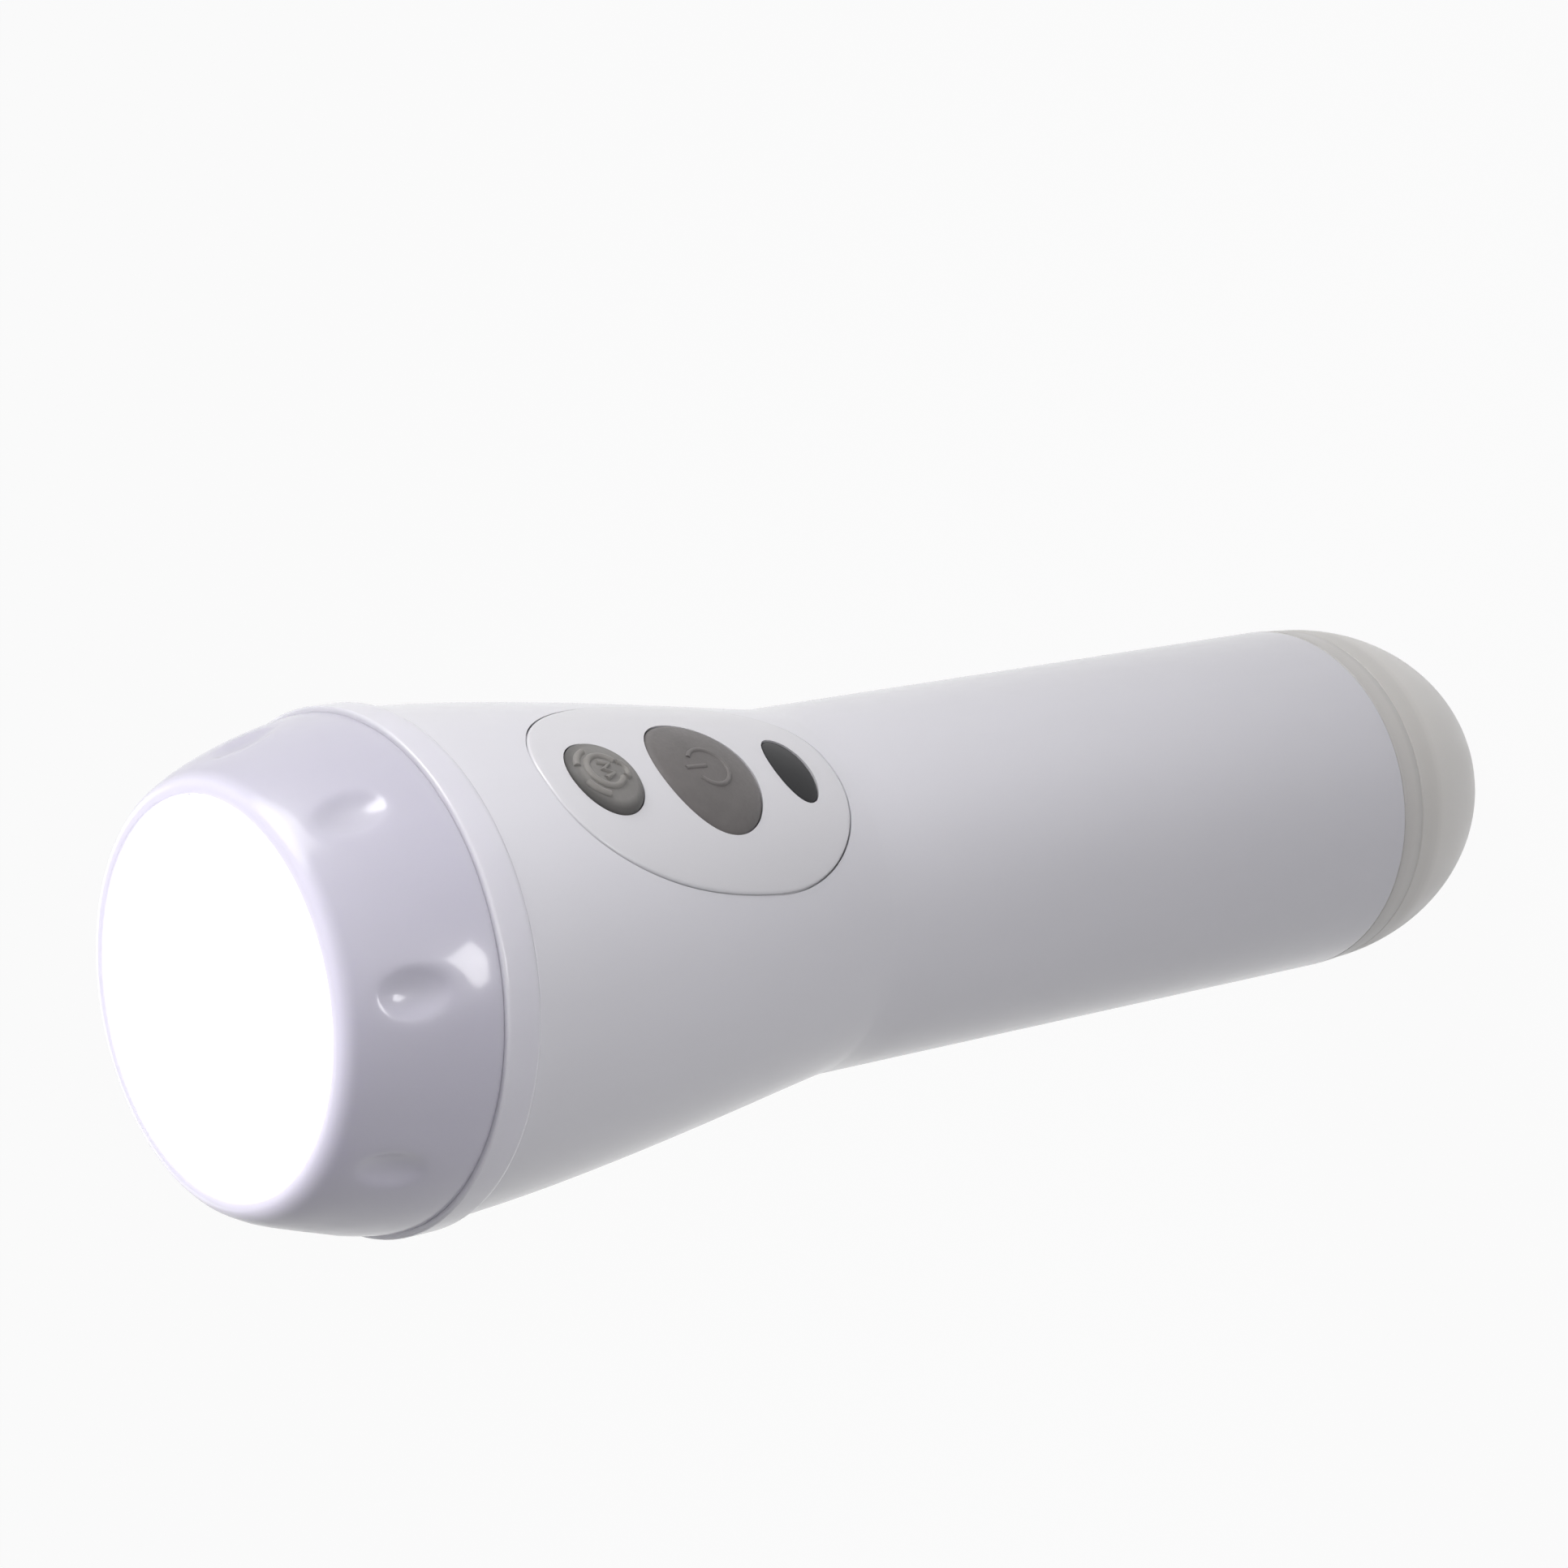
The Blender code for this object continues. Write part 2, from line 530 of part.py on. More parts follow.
def oval_mesh(name, half_width, half_height, near, far, height, segments=ROUND_COUNT):
    """An oval bar along Y, from y = -near out to y = -far, centred at a height."""
    mesh = cone_mesh(name, 1.0, 1.0, far - near, segments)
    mesh.transform(Matrix.Diagonal((half_width, half_height, 1.0, 1.0)))
    return facing_panel(mesh, near, height)


def egg_points(margin):
    """Outline of the control panel, grown by a margin, as (across, up) from its widest line."""
    points = []
    for index in range(PANEL_POINTS):
        angle = 2.0 * math.pi * index / PANEL_POINTS
        across = math.copysign(abs(math.cos(angle)) ** (2.0 / PANEL_POWER_SHARE), math.cos(angle))
        up = math.copysign(abs(math.sin(angle)) ** (2.0 / PANEL_POWER_SHARE), math.sin(angle))
        reach = PANEL_UPPER if up > 0.0 else PANEL_LOWER
        points.append((across * (PANEL_HALF_WIDTH + margin), up * (reach + margin)))
    return points


def egg_mesh(shop, name, margin):
    """The panel's outline as a thick flat solid that reaches out through the body's front."""
    curve = bpy.data.curves.new(name, "CURVE")
    curve.dimensions = "2D"
    curve.fill_mode = "BOTH"
    curve.extrude = (NECK_RADIUS + OVERRUN) / 2.0
    spline = curve.splines.new("POLY")
    outline = egg_points(margin)
    spline.points.add(len(outline) - 1)
    for point, (across, up) in zip(spline.points, outline):
        point.co = (across, up, 0.0, 1.0)
    spline.use_cyclic_u = True
    mesh = curve_to_mesh(shop, name, curve)
    mesh.transform(Matrix.Rotation(math.radians(90.0), 4, "X"))
    mesh.transform(Matrix.Translation((0.0, -curve.extrude, PANEL_LINE)))
    return mesh


def curve_to_mesh(shop, name, curve):
    """The closed mesh that a curve makes, with its loose caps welded on."""
    guide = bpy.data.objects.new(name + "_curve", curve)
    shop.cutters.objects.link(guide)
    graph = bpy.context.evaluated_depsgraph_get()
    mesh = bpy.data.meshes.new_from_object(guide.evaluated_get(graph))
    bm = bmesh.new()
    bm.from_mesh(mesh)
    bmesh.ops.remove_doubles(bm, verts=bm.verts, dist=MERGE)
    bmesh.ops.recalc_face_normals(bm, faces=bm.faces)
    bm.to_mesh(mesh)
    bm.free()
    bpy.data.objects.remove(guide, do_unlink=True)
    return mesh


def strand(shop, name, points, radius, material, bevel):
    """A wire through points, as a curve with a round section."""
    curve = bpy.data.curves.new(name, "CURVE")
    curve.dimensions = "3D"
    curve.bevel_depth = radius
    curve.bevel_resolution = bevel
    curve.use_fill_caps = True
    spline = curve.splines.new("POLY")
    spline.points.add(len(points) - 1)
    for point, place in zip(spline.points, points):
        point.co = (*place, 1.0)
    piece = bpy.data.objects.new(name, curve)
    shop.parts.objects.link(piece)
    piece.parent = shop.axis
    curve.materials.append(material)
    return piece


def rounded_route(corners, radius, steps=3):
    """Points along straight runs whose corners are rounded to a radius."""
    places = [Vector(corner) for corner in corners]
    route = [places[0]]
    for before, corner, after in zip(places, places[1:], places[2:]):
        start = corner + (before - corner).normalized() * min(radius, (before - corner).length / 2.1)
        end = corner + (after - corner).normalized() * min(radius, (after - corner).length / 2.1)
        for step in range(steps + 1):
            share = step / steps
            low = start.lerp(corner, share)
            high = corner.lerp(end, share)
            route.append(low.lerp(high, share))
    route.append(places[-1])
    return [tuple(place) for place in route]


def round_places(count, radius, first_angle):
    """Centres of copies that stand in a circle round the axis."""
    places = []
    for index in range(count):
        angle = first_angle + 2.0 * math.pi * index / count
        places.append((radius * math.cos(angle), radius * math.sin(angle)))
    return places


# Head

def head_profile():
    """The head shell: barrel outside, lens seat at the front, plain spigot with a seal groove behind."""
    bore = LENS_RADIUS + SEAM
    barrel = heights(HEAD_TOP - RIM_ROUNDING, HEAD_BOTTOM, BARREL_ROWS)
    outside = [(RIM_RADIUS - RIM_ROUNDING, HEAD_TOP)]
    outside += [(head_radius(height), height) for height in barrel]
    groove_low = SPIGOT_BOTTOM + SEAL_GROOVE_RISE
    groove_high = groove_low + SEAL_GROOVE_WIDTH
    groove_floor = SPIGOT_RADIUS - SEAL_GROOVE_DEPTH
    spigot_bore = SPIGOT_RADIUS - SPIGOT_WALL
    spigot = [(SPIGOT_RADIUS, HEAD_BOTTOM), (SPIGOT_RADIUS, groove_high), (groove_floor, groove_high),
              (groove_floor, groove_low), (SPIGOT_RADIUS, groove_low), (SPIGOT_RADIUS, SPIGOT_BOTTOM),
              (spigot_bore, SPIGOT_BOTTOM), (spigot_bore, HEAD_BOTTOM)]
    inner = [(head_radius(height) - HEAD_WALL, height)
             for height in heights(HEAD_BOTTOM + HEAD_WALL, LEDGE_BOTTOM, BARREL_ROWS // 2)]
    seat = [(bore - LEDGE_WIDTH, LEDGE_BOTTOM), (bore - LEDGE_WIDTH, LEDGE_TOP), (bore, LEDGE_TOP), (bore, HEAD_TOP)]
    return outside + spigot + inner + seat


def make_head(shop):
    """The milky head shell with its row of dimples."""
    head = turned(shop, "head_shell", head_profile(), shop.milky, HEAD_BOTTOM, FINE_COUNT)
    height = HEAD_TOP - DIMPLE_DROP
    radius = head_radius(height)
    step = DIMPLE_HALF_HEIGHT
    lean = math.atan2(head_radius(height - step) - head_radius(height + step), 2.0 * step)
    for index in range(DIMPLE_COUNT):
        angle = math.radians(-90.0) + 2.0 * math.pi * index / DIMPLE_COUNT
        bm = bmesh.new()
        bmesh.ops.create_uvsphere(bm, u_segments=SMALL_COUNT, v_segments=SMALL_COUNT // 2, radius=1.0)
        mesh = bpy.data.meshes.new("dimple")
        bm.to_mesh(mesh)
        bm.free()
        mesh.transform(Matrix.Diagonal((DIMPLE_HALF_HEIGHT, DIMPLE_HALF_WIDTH, DIMPLE_HALF_LENGTH, 1.0)))
        mesh.transform(Matrix.Translation((DIMPLE_HALF_HEIGHT - DIMPLE_DEPTH, 0.0, 0.0)))
        mesh.transform(Matrix.Rotation(-lean, 4, "Y"))
        mesh.transform(Matrix.Translation((radius, 0.0, height)))
        mesh.transform(Matrix.Rotation(angle, 4, "Z"))
        combine(head, shop.tool("dimple_%d" % (index + 1), mesh), "DIFFERENCE")


def make_front(shop):
    """The lens, its gasket, the collar ring and the seal between head and body."""
    turned(shop, "front_lens", [(0.0, LENS_TOP), (LENS_RADIUS, LENS_TOP), (LENS_RADIUS, LENS_BOTTOM),
                                (0.0, LENS_BOTTOM)], shop.lens, LENS_BOTTOM, FINE_COUNT, closed=False)
    gasket_bottom = GASKET_TOP - GASKET_HEIGHT
    turned(shop, "lens_gasket", [(LENS_RADIUS, GASKET_TOP), (LENS_RADIUS, gasket_bottom),
                                 (LENS_RADIUS - GASKET_WIDTH, gasket_bottom),
                                 (LENS_RADIUS - GASKET_WIDTH, GASKET_TOP)], shop.dark_rubber, gasket_bottom)
    bore = SPIGOT_RADIUS + SEAM
    lip = COLLAR_RADIUS - COLLAR_ROUNDING
    turned(shop, "collar_ring", [(bore, COLLAR_TOP), (lip, COLLAR_TOP), (COLLAR_RADIUS, COLLAR_TOP - COLLAR_ROUNDING),
                                 (COLLAR_RADIUS, COLLAR_BOTTOM + COLLAR_ROUNDING), (lip, COLLAR_BOTTOM),
                                 (bore, COLLAR_BOTTOM)], shop.milky, COLLAR_BOTTOM, FINE_COUNT)
    bm = bmesh.new()
    bmesh.ops.create_circle(bm, segments=SMALL_COUNT // 2, radius=SEAL_CORD_RADIUS)
    section = [(vert.co.x, vert.co.y) for vert in bm.verts]
    bm.free()
    centre_radius = SPIGOT_RADIUS - SEAL_GROOVE_DEPTH + SEAM + SEAL_CORD_RADIUS
    centre_height = SPIGOT_BOTTOM + SEAL_GROOVE_RISE + SEAL_GROOVE_WIDTH / 2.0
    ring = [(centre_radius + across, centre_height - up) for across, up in section]
    turned(shop, "head_seal", ring, shop.dark_rubber, centre_height)


def make_reflector(shop):
    """The bowl between the main LED and the lens: a paraboloid with a flange and a short foot."""
    throat = LED_BOTTOM + REFLECTOR_FOOT
    rise = FLANGE_TOP - throat
    focus = (REFLECTOR_MOUTH ** 2 - REFLECTOR_THROAT ** 2) / rise
    bowl = [(math.sqrt(REFLECTOR_THROAT ** 2 + focus * (height - throat)), height)
            for height in heights(throat, FLANGE_TOP, REFLECTOR_ROWS)]
    outside = []
    for radius, height in reversed(bowl[1:-1]):
        lean = math.atan2(focus / (2.0 * radius), 1.0)
        outside.append((radius + REFLECTOR_WALL * math.cos(lean), height - REFLECTOR_WALL * math.sin(lean)))
    flange_bottom = FLANGE_TOP - REFLECTOR_FLANGE_HEIGHT
    outside = [point for point in outside if point[1] < flange_bottom - REFLECTOR_WALL]
    outside = [point for point in outside if point[1] > throat]
    foot = REFLECTOR_THROAT + REFLECTOR_WALL
    points = [(REFLECTOR_FLANGE, FLANGE_TOP), (REFLECTOR_FLANGE, flange_bottom),
              (REFLECTOR_MOUTH + REFLECTOR_WALL / 2.0, flange_bottom)]
    points += outside
    points += [(foot, throat), (foot, LED_BOTTOM), (REFLECTOR_THROAT, LED_BOTTOM)]
    points += bowl
    turned(shop, "reflector", points, shop.mirror, LED_BOTTOM)


def wire_places():
    """Where the two wires to the LED board pass through the chassis and the heat spreader."""
    return [(side * LED_WIRE_SPREAD, -BOARD_BACK + 2.0 * WIRE_HOLE_RADIUS) for side in (-1.0, 1.0)]


def make_light(shop):
    """The main LED, its board and the heat spreader under it."""
    dome_rows = [(LED_DOME_RADIUS * math.sin(math.radians(angle)), LED_DOME_RADIUS * math.cos(math.radians(angle)))
                 for angle in range(0, 91, 15)]
    dome_base = LED_BOTTOM + LED_BASE_HEIGHT
    points = [(radius, dome_base + rise) for radius, rise in dome_rows]
    points += [(LED_BASE_RADIUS, dome_base), (LED_BASE_RADIUS, LED_BOTTOM), (0.0, LED_BOTTOM)]
    turned(shop, "main_led", points, shop.phosphor, LED_BOTTOM, SMALL_COUNT, closed=False)
    turned(shop, "led_board", [(0.0, LED_BOARD_TOP), (LED_BOARD_RADIUS, LED_BOARD_TOP),
                               (LED_BOARD_RADIUS, LED_BOARD_BOTTOM), (0.0, LED_BOARD_BOTTOM)],
           shop.board, LED_BOARD_BOTTOM, closed=False)
    disc_radius = SPIGOT_RADIUS - SPIGOT_WALL - EDGE_GAP
    shoulder = SPREADER_BOTTOM + SPREADER_HEIGHT
    spreader = turned(shop, "heat_spreader", [(0.0, SPREADER_TOP), (SPREADER_BOSS_RADIUS, SPREADER_TOP),
                                              (SPREADER_BOSS_RADIUS, shoulder), (disc_radius, shoulder),
                                              (disc_radius, SPREADER_BOTTOM), (0.0, SPREADER_BOTTOM)],
                      shop.aluminium, SPREADER_BOTTOM, closed=False)
    for index, centre in enumerate(wire_places()):
        hole = rod_mesh("spreader_hole", WIRE_HOLE_RADIUS, SPREADER_HEIGHT + 2.0 * OVERRUN, SMALL_COUNT, centre)
        tool = shop.tool("spreader_hole_%d" % (index + 1), hole, (0.0, 0.0, SPREADER_BOTTOM - OVERRUN))
        combine(spreader, tool, "DIFFERENCE")


# Body and controls

def outer_heights():
    """Heights at which the body's profile has points, from its top edge down."""
    flare = heights(BODY_TOP, BODY_TOP - FLARE_LENGTH, FLARE_ROWS)
    return flare + [BODY_BOTTOM]


def layer_profile(outside, inside, low, high):
    """A closed profile that follows the body, between two depths under its surface."""
    levels = [height for height in outer_heights() if low < height < high]
    levels = [high] + levels + [low]
    points = [(body_radius(height) - outside, height) for height in levels]
    points += [(body_radius(height) - inside, height) for height in reversed(levels)]
    return points


def panel_span(margin):
    """Lowest and highest place of the panel, grown by a margin."""
    return PANEL_LINE - PANEL_LOWER - margin, PANEL_LINE + PANEL_UPPER + margin


def button_hole(shop, name, half_width, half_height, height, margin):
    """An oval cutter through the body's front."""
    mesh = oval_mesh(name, half_width + margin, half_height + margin, BOARD_FRONT / 2.0,
                     NECK_RADIUS + OVERRUN, height)
    return shop.tool(name, mesh)


def controls():
    """Name, half width, half height and height of each thing that shows in the panel."""
    return [("mode", MODE_HALF_WIDTH, MODE_HALF_HEIGHT, MODE_HEIGHT),
            ("power", POWER_HALF_WIDTH, POWER_HALF_HEIGHT, POWER_HEIGHT),
            ("window", WINDOW_HALF_WIDTH, WINDOW_HALF_HEIGHT, WINDOW_HEIGHT)]


def make_body(shop):
    """The body shell with the recess for the panel and a hole behind each control."""
    levels = outer_heights()
    outside = [(body_radius(height), height) for height in levels]
    bore_levels = [height for height in reversed(levels) if height < MOUTH_BOTTOM]
    inside = [(body_radius(height) - BODY_WALL, height) for height in bore_levels]
    mouth = [(body_radius(MOUTH_BOTTOM) - BODY_WALL, MOUTH_BOTTOM), (MOUTH_RADIUS, MOUTH_BOTTOM),
             (MOUTH_RADIUS, BODY_TOP)]
    body = turned(shop, "body_shell", outside + inside + mouth, shop.white, BODY_BOTTOM, FINE_COUNT)
    low, high = panel_span(OVERRUN)
    depth = PANEL_THICKNESS + SEAM
    recess = turned_tool(shop, "panel_recess", layer_profile(-OVERRUN, depth, low, high), BODY_BOTTOM, FINE_COUNT)
    combine(recess, shop.tool("panel_recess_outline", egg_mesh(shop, "recess_egg", PANEL_GROOVE)), "INTERSECT")
    combine(body, recess, "DIFFERENCE")
    for name, half_width, half_height, height in controls():
        margin = BUTTON_FLANGE_MARGIN + SEAM
        combine(body, button_hole(shop, "body_hole_" + name, half_width, half_height, height, margin), "DIFFERENCE")


def make_panel(shop):
    """The egg-shaped panel that lies flush in the body."""
    low, high = panel_span(OVERRUN)
    points = layer_profile(0.0, PANEL_THICKNESS, low, high)
    panel = turned(shop, "control_panel", points, shop.white, BODY_BOTTOM, FINE_COUNT)
    combine(panel, shop.tool("panel_outline", egg_mesh(shop, "panel_egg", 0.0)), "INTERSECT")
    for name, half_width, half_height, height in controls():
        combine(panel, button_hole(shop, "panel_hole_" + name, half_width, half_height, height, SEAM), "DIFFERENCE")


def panel_lean(height, reach):
    """Angle by which the body's surface leans out at a height."""
    return math.atan2(body_radius(height + reach) - body_radius(height - reach), 2.0 * reach)


def crowned_key(shop, name, half_width, half_height, height, proud, edge_proud, material, parent=None):
    """A key that fills its hole in the panel, with a crowned face and a flange behind the panel."""
    back = flange_back(half_width, half_height, height)
    radius = body_radius(height)
    far = radius + OVERRUN
    key = shop.place(name, oval_mesh(name, half_width, half_height, back, far, height), material)
    sagitta = radius - math.sqrt(radius ** 2 - half_width ** 2)
    drop_across = sagitta + proud - edge_proud
    drop_along = proud - edge_proud
    core_width = half_width / math.sqrt(1.0 - (1.0 - drop_across / BUTTON_CORE) ** 2)
    core_height = half_height / math.sqrt(1.0 - (1.0 - drop_along / BUTTON_CORE) ** 2)
    bm = bmesh.new()
    bmesh.ops.create_uvsphere(bm, u_segments=ROUND_COUNT, v_segments=ROUND_COUNT, radius=1.0)
    crown = bpy.data.meshes.new(name + "_crown")
    bm.to_mesh(crown)
    bm.free()
    crown.transform(Matrix.Diagonal((core_width, core_height, BUTTON_CORE, 1.0)))
    crown.transform(Matrix.Translation((0.0, 0.0, -BUTTON_CORE)))
    crown.transform(Matrix.Rotation(math.radians(90.0) + panel_lean(height, half_height), 4, "X"))
    crown.transform(Matrix.Translation((0.0, -(radius + proud), height)))
    combine(key, shop.tool(name + "_crown", crown), "INTERSECT")
    reach = half_height + BUTTON_FLANGE_MARGIN
    flange = shop.tool(name + "_flange", oval_mesh(name + "_flange", half_width + BUTTON_FLANGE_MARGIN, reach,
                                                   back, far, height))
    low = height - reach - OVERRUN
    high = height + reach + OVERRUN
    under = PANEL_THICKNESS + SEAM
    levels = [level for level in outer_heights() if low < level < high]
    levels = [high] + levels + [low]
    skin = [(body_radius(level) - under, level) for level in levels]
    core = turned_tool(shop, name + "_under_panel", [(0.0, high)] + skin + [(0.0, low)], BODY_BOTTOM, FINE_COUNT,
                       closed=False)
    combine(flange, core, "INTERSECT")
    combine(key, flange, "UNION")
    if parent:
        key.parent = parent
        key.matrix_parent_inverse = parent.matrix_world.inverted()
    return key, back


def joint_empty(shop, name, front, height):
    """An empty on a sliding piece's axis."""
    empty = bpy.data.objects.new(name, None)
    shop.parts.objects.link(empty)
    empty.location = (0.0, -front, height)
    empty.parent = shop.axis
    bpy.context.view_layer.update()
    return empty


def make_button(shop, name, half_width, half_height, height, material):
    """A push button with its stem, the switch behind it and the switch's plunger."""
    slide = joint_empty(shop, name + "_press", body_radius(height), height)
    key, back = crowned_key(shop, name + "_button", half_width, half_height, height, BUTTON_PROUD,
                            BUTTON_EDGE_PROUD, material, slide)
    switch_back = BOARD_FRONT + SEAM
    switch_front = switch_back + SWITCH_HEIGHT
    plunger_front = switch_front + PLUNGER_PROUD
    stem_front = plunger_front + SEAM
    stem = rod_mesh(name + "_stem", BUTTON_STEM_RADIUS, back + BUTTON_FLANGE_HEIGHT / 2.0 - stem_front)
    combine(key, shop.tool(name + "_stem", facing_panel(stem, stem_front, height)), "UNION")
    side = 2.0 * SWITCH_HALF_WIDTH
    centre = (0.0, -(switch_back + SWITCH_HEIGHT / 2.0), height)
    switch = shop.place(name + "_switch", box_mesh(name + "_switch", (side, SWITCH_HEIGHT, side)), shop.black, centre)
    well_floor = switch_front - SWITCH_WELL
    well = rod_mesh(name + "_well", PLUNGER_RADIUS + PLUNGER_CLEARANCE, SWITCH_WELL + OVERRUN)
    combine(switch, shop.tool(name + "_well", facing_panel(well, well_floor, height)), "DIFFERENCE")
    travel_room = SWITCH_WELL / 2.0
    plunger_back = well_floor + travel_room
    bar = rod_mesh(name + "_plunger", PLUNGER_RADIUS, plunger_front - plunger_back)
    plunger = shop.place(name + "_plunger", facing_panel(bar, plunger_back, height), shop.inner)
    plunger.parent = slide
    plunger.matrix_parent_inverse = slide.matrix_world.inverted()


def make_window(shop):
    """The dark oval window, held like a key, and the light sensor behind it."""
    crowned_key(shop, "sensor_window", WINDOW_HALF_WIDTH, WINDOW_HALF_HEIGHT, WINDOW_HEIGHT, WINDOW_PROUD,
                0.0, shop.smoked)
    bar = rod_mesh("light_sensor", SENSOR_RADIUS, SENSOR_HEIGHT)
    shop.place("light_sensor", facing_panel(bar, BOARD_FRONT + SEAM, WINDOW_HEIGHT), shop.smoked)


def board_screw_places():
    """Centres of the board's four screws, as (across, height)."""
    return [(side * RAIL_CENTRE, height) for height in (BOARD_BOTTOM + SCREW_INSET, BOARD_TOP - SCREW_INSET)
            for side in (-1.0, 1.0)]


def make_board(shop):
    """The main board with its four screws."""
    size = (2.0 * BOARD_HALF_WIDTH, BOARD_THICKNESS, BOARD_TOP - BOARD_BOTTOM)
    centre = (0.0, -(BOARD_FRONT + BOARD_BACK) / 2.0, (BOARD_TOP + BOARD_BOTTOM) / 2.0)
    board = shop.place("main_board", box_mesh("main_board", size), shop.board, centre)
    for index, (across, height) in enumerate(board_screw_places()):
        hole = rod_mesh("board_hole", SCREW_RADIUS + SCREW_CLEARANCE, BOARD_THICKNESS + 2.0 * OVERRUN)
        hole = facing_panel(hole, BOARD_BACK - OVERRUN, height)
        hole.transform(Matrix.Translation((across, 0.0, 0.0)))
        combine(board, shop.tool("board_hole_%d" % (index + 1), hole), "DIFFERENCE")
        tip = BOARD_FRONT + SEAM - SCREW_LENGTH
        screw = screw_mesh("board_screw", SCREW_LENGTH)
        screw = facing_panel(screw, tip, height)
        shop.place("board_screw_%d" % (index + 1), screw, shop.steel, (across, 0.0, 0.0))


def screw_mesh(name, length):
    """A pan-head screw whose tip is at z = 0 and whose head starts at its length."""
    bm = bmesh.new()
    mesh = bpy.data.meshes.new(name)
    steps = SMALL_COUNT // 2
    points = [(0.0, length + SCREW_HEAD_HEIGHT), (SCREW_HEAD_RADIUS, length + SCREW_HEAD_HEIGHT),
              (SCREW_HEAD_RADIUS, length), (SCREW_RADIUS, length), (SCREW_RADIUS, SCREW_RADIUS),
              (SCREW_RADIUS / 2.0, 0.0), (0.0, 0.0)]
    verts = [bm.verts.new((radius, 0.0, height)) for radius, height in points]
    edges = [bm.edges.new(pair) for pair in zip(verts, verts[1:])]
    bmesh.ops.spin(bm, geom=verts + edges, cent=(0.0, 0.0, 0.0), axis=(0.0, 0.0, 1.0), angle=2.0 * math.pi,
                   steps=steps)
    bmesh.ops.remove_doubles(bm, verts=bm.verts, dist=MERGE)
    bmesh.ops.recalc_face_normals(bm, faces=bm.faces)
    bm.to_mesh(mesh)
    bm.free()
    return mesh


def make_chassis(shop):
    """The inner frame: a top disc, a foot disc and two rails that carry the board."""
    top_low = CHASSIS_TOP - CHASSIS_TOP_HEIGHT
    chassis = shop.place("chassis", rod_mesh("chassis", CHASSIS_TOP_RADIUS, CHASSIS_TOP_HEIGHT, ROUND_COUNT),
                         shop.inner, (0.0, 0.0, top_low))
    foot = shop.tool("chassis_foot", rod_mesh("chassis_foot", INNER_DISC_RADIUS, CHASSIS_FOOT_HEIGHT, ROUND_COUNT),
                     (0.0, 0.0, CHASSIS_FOOT_BOTTOM))
    rail_low = CHASSIS_FOOT_BOTTOM + CHASSIS_FOOT_HEIGHT / 2.0
    rail_high = top_low + CHASSIS_TOP_HEIGHT / 2.0
    rail_front = BOARD_BACK - SEAM
    rail_middle = -(rail_front - RAIL_DEPTH / 2.0)
    for side in (-1.0, 1.0):
        size = (RAIL_WIDTH, RAIL_DEPTH, rail_high - rail_low)
        rail = shop.tool("chassis_rail", box_mesh("chassis_rail", size),
                         (side * RAIL_CENTRE, rail_middle, (rail_low + rail_high) / 2.0))
        combine(chassis, rail, "UNION")
    combine(chassis, foot, "UNION")
    for index, (across, height) in enumerate(board_screw_places()):
        hole = rod_mesh("rail_hole", SCREW_RADIUS + SCREW_CLEARANCE, SCREW_LENGTH + OVERRUN)
        hole = facing_panel(hole, BOARD_FRONT - SCREW_LENGTH, height)
        tool = shop.tool("rail_hole_%d" % (index + 1), hole, (across, 0.0, 0.0))
        combine(chassis, tool, "DIFFERENCE")
    for index, centre in enumerate(wire_places()):
        hole = rod_mesh("top_hole", WIRE_HOLE_RADIUS, CHASSIS_TOP_HEIGHT + 2.0 * OVERRUN, SMALL_COUNT, centre)
        tool = shop.tool("top_hole_%d" % (index + 1), hole, (0.0, 0.0, top_low - OVERRUN))
        combine(chassis, tool, "DIFFERENCE")
    margin = BUTTON_FLANGE_MARGIN + SEAM
    pressed_back = flange_back(MODE_HALF_WIDTH, MODE_HALF_HEIGHT, MODE_HEIGHT) - BUTTON_TRAVEL - SEAM
    relief = oval_mesh("button_relief", MODE_HALF_WIDTH + margin, MODE_HALF_HEIGHT + margin, pressed_back,
                       NECK_RADIUS + OVERRUN, MODE_HEIGHT)
    combine(chassis, shop.tool("button_relief", relief), "DIFFERENCE")
    for index, centre in enumerate(tail_wire_places() + pack_wire_places()):
        hole = rod_mesh("foot_hole", WIRE_HOLE_RADIUS, CHASSIS_FOOT_HEIGHT + 2.0 * OVERRUN, SMALL_COUNT, centre)
        tool = shop.tool("foot_hole_%d" % (index + 1), hole, (0.0, 0.0, CHASSIS_FOOT_BOTTOM - OVERRUN))
        combine(chassis, tool, "DIFFERENCE")


# Battery pack

def cell_places():
    """Centres of the cells: one at the back and one at each side of the front."""
    return round_places(CELL_COUNT, CELL_CIRCLE, math.radians(90.0))


def pack_wire_places():
    """Where the two pack wires leave the top of the battery holder."""
    return [(side * PACK_WIRE_SPREAD, -PACK_WIRE_FRONT) for side in (-1.0, 1.0)]


def tail_wire_places():
    """Where the two tail wires run up past the pack, one at each side of the back cell."""
    across = TAIL_WIRE_CIRCLE * math.cos(TAIL_WIRE_ANGLE)
    back = TAIL_WIRE_CIRCLE * math.sin(TAIL_WIRE_ANGLE)
    return [(side * across, back) for side in (-1.0, 1.0)]


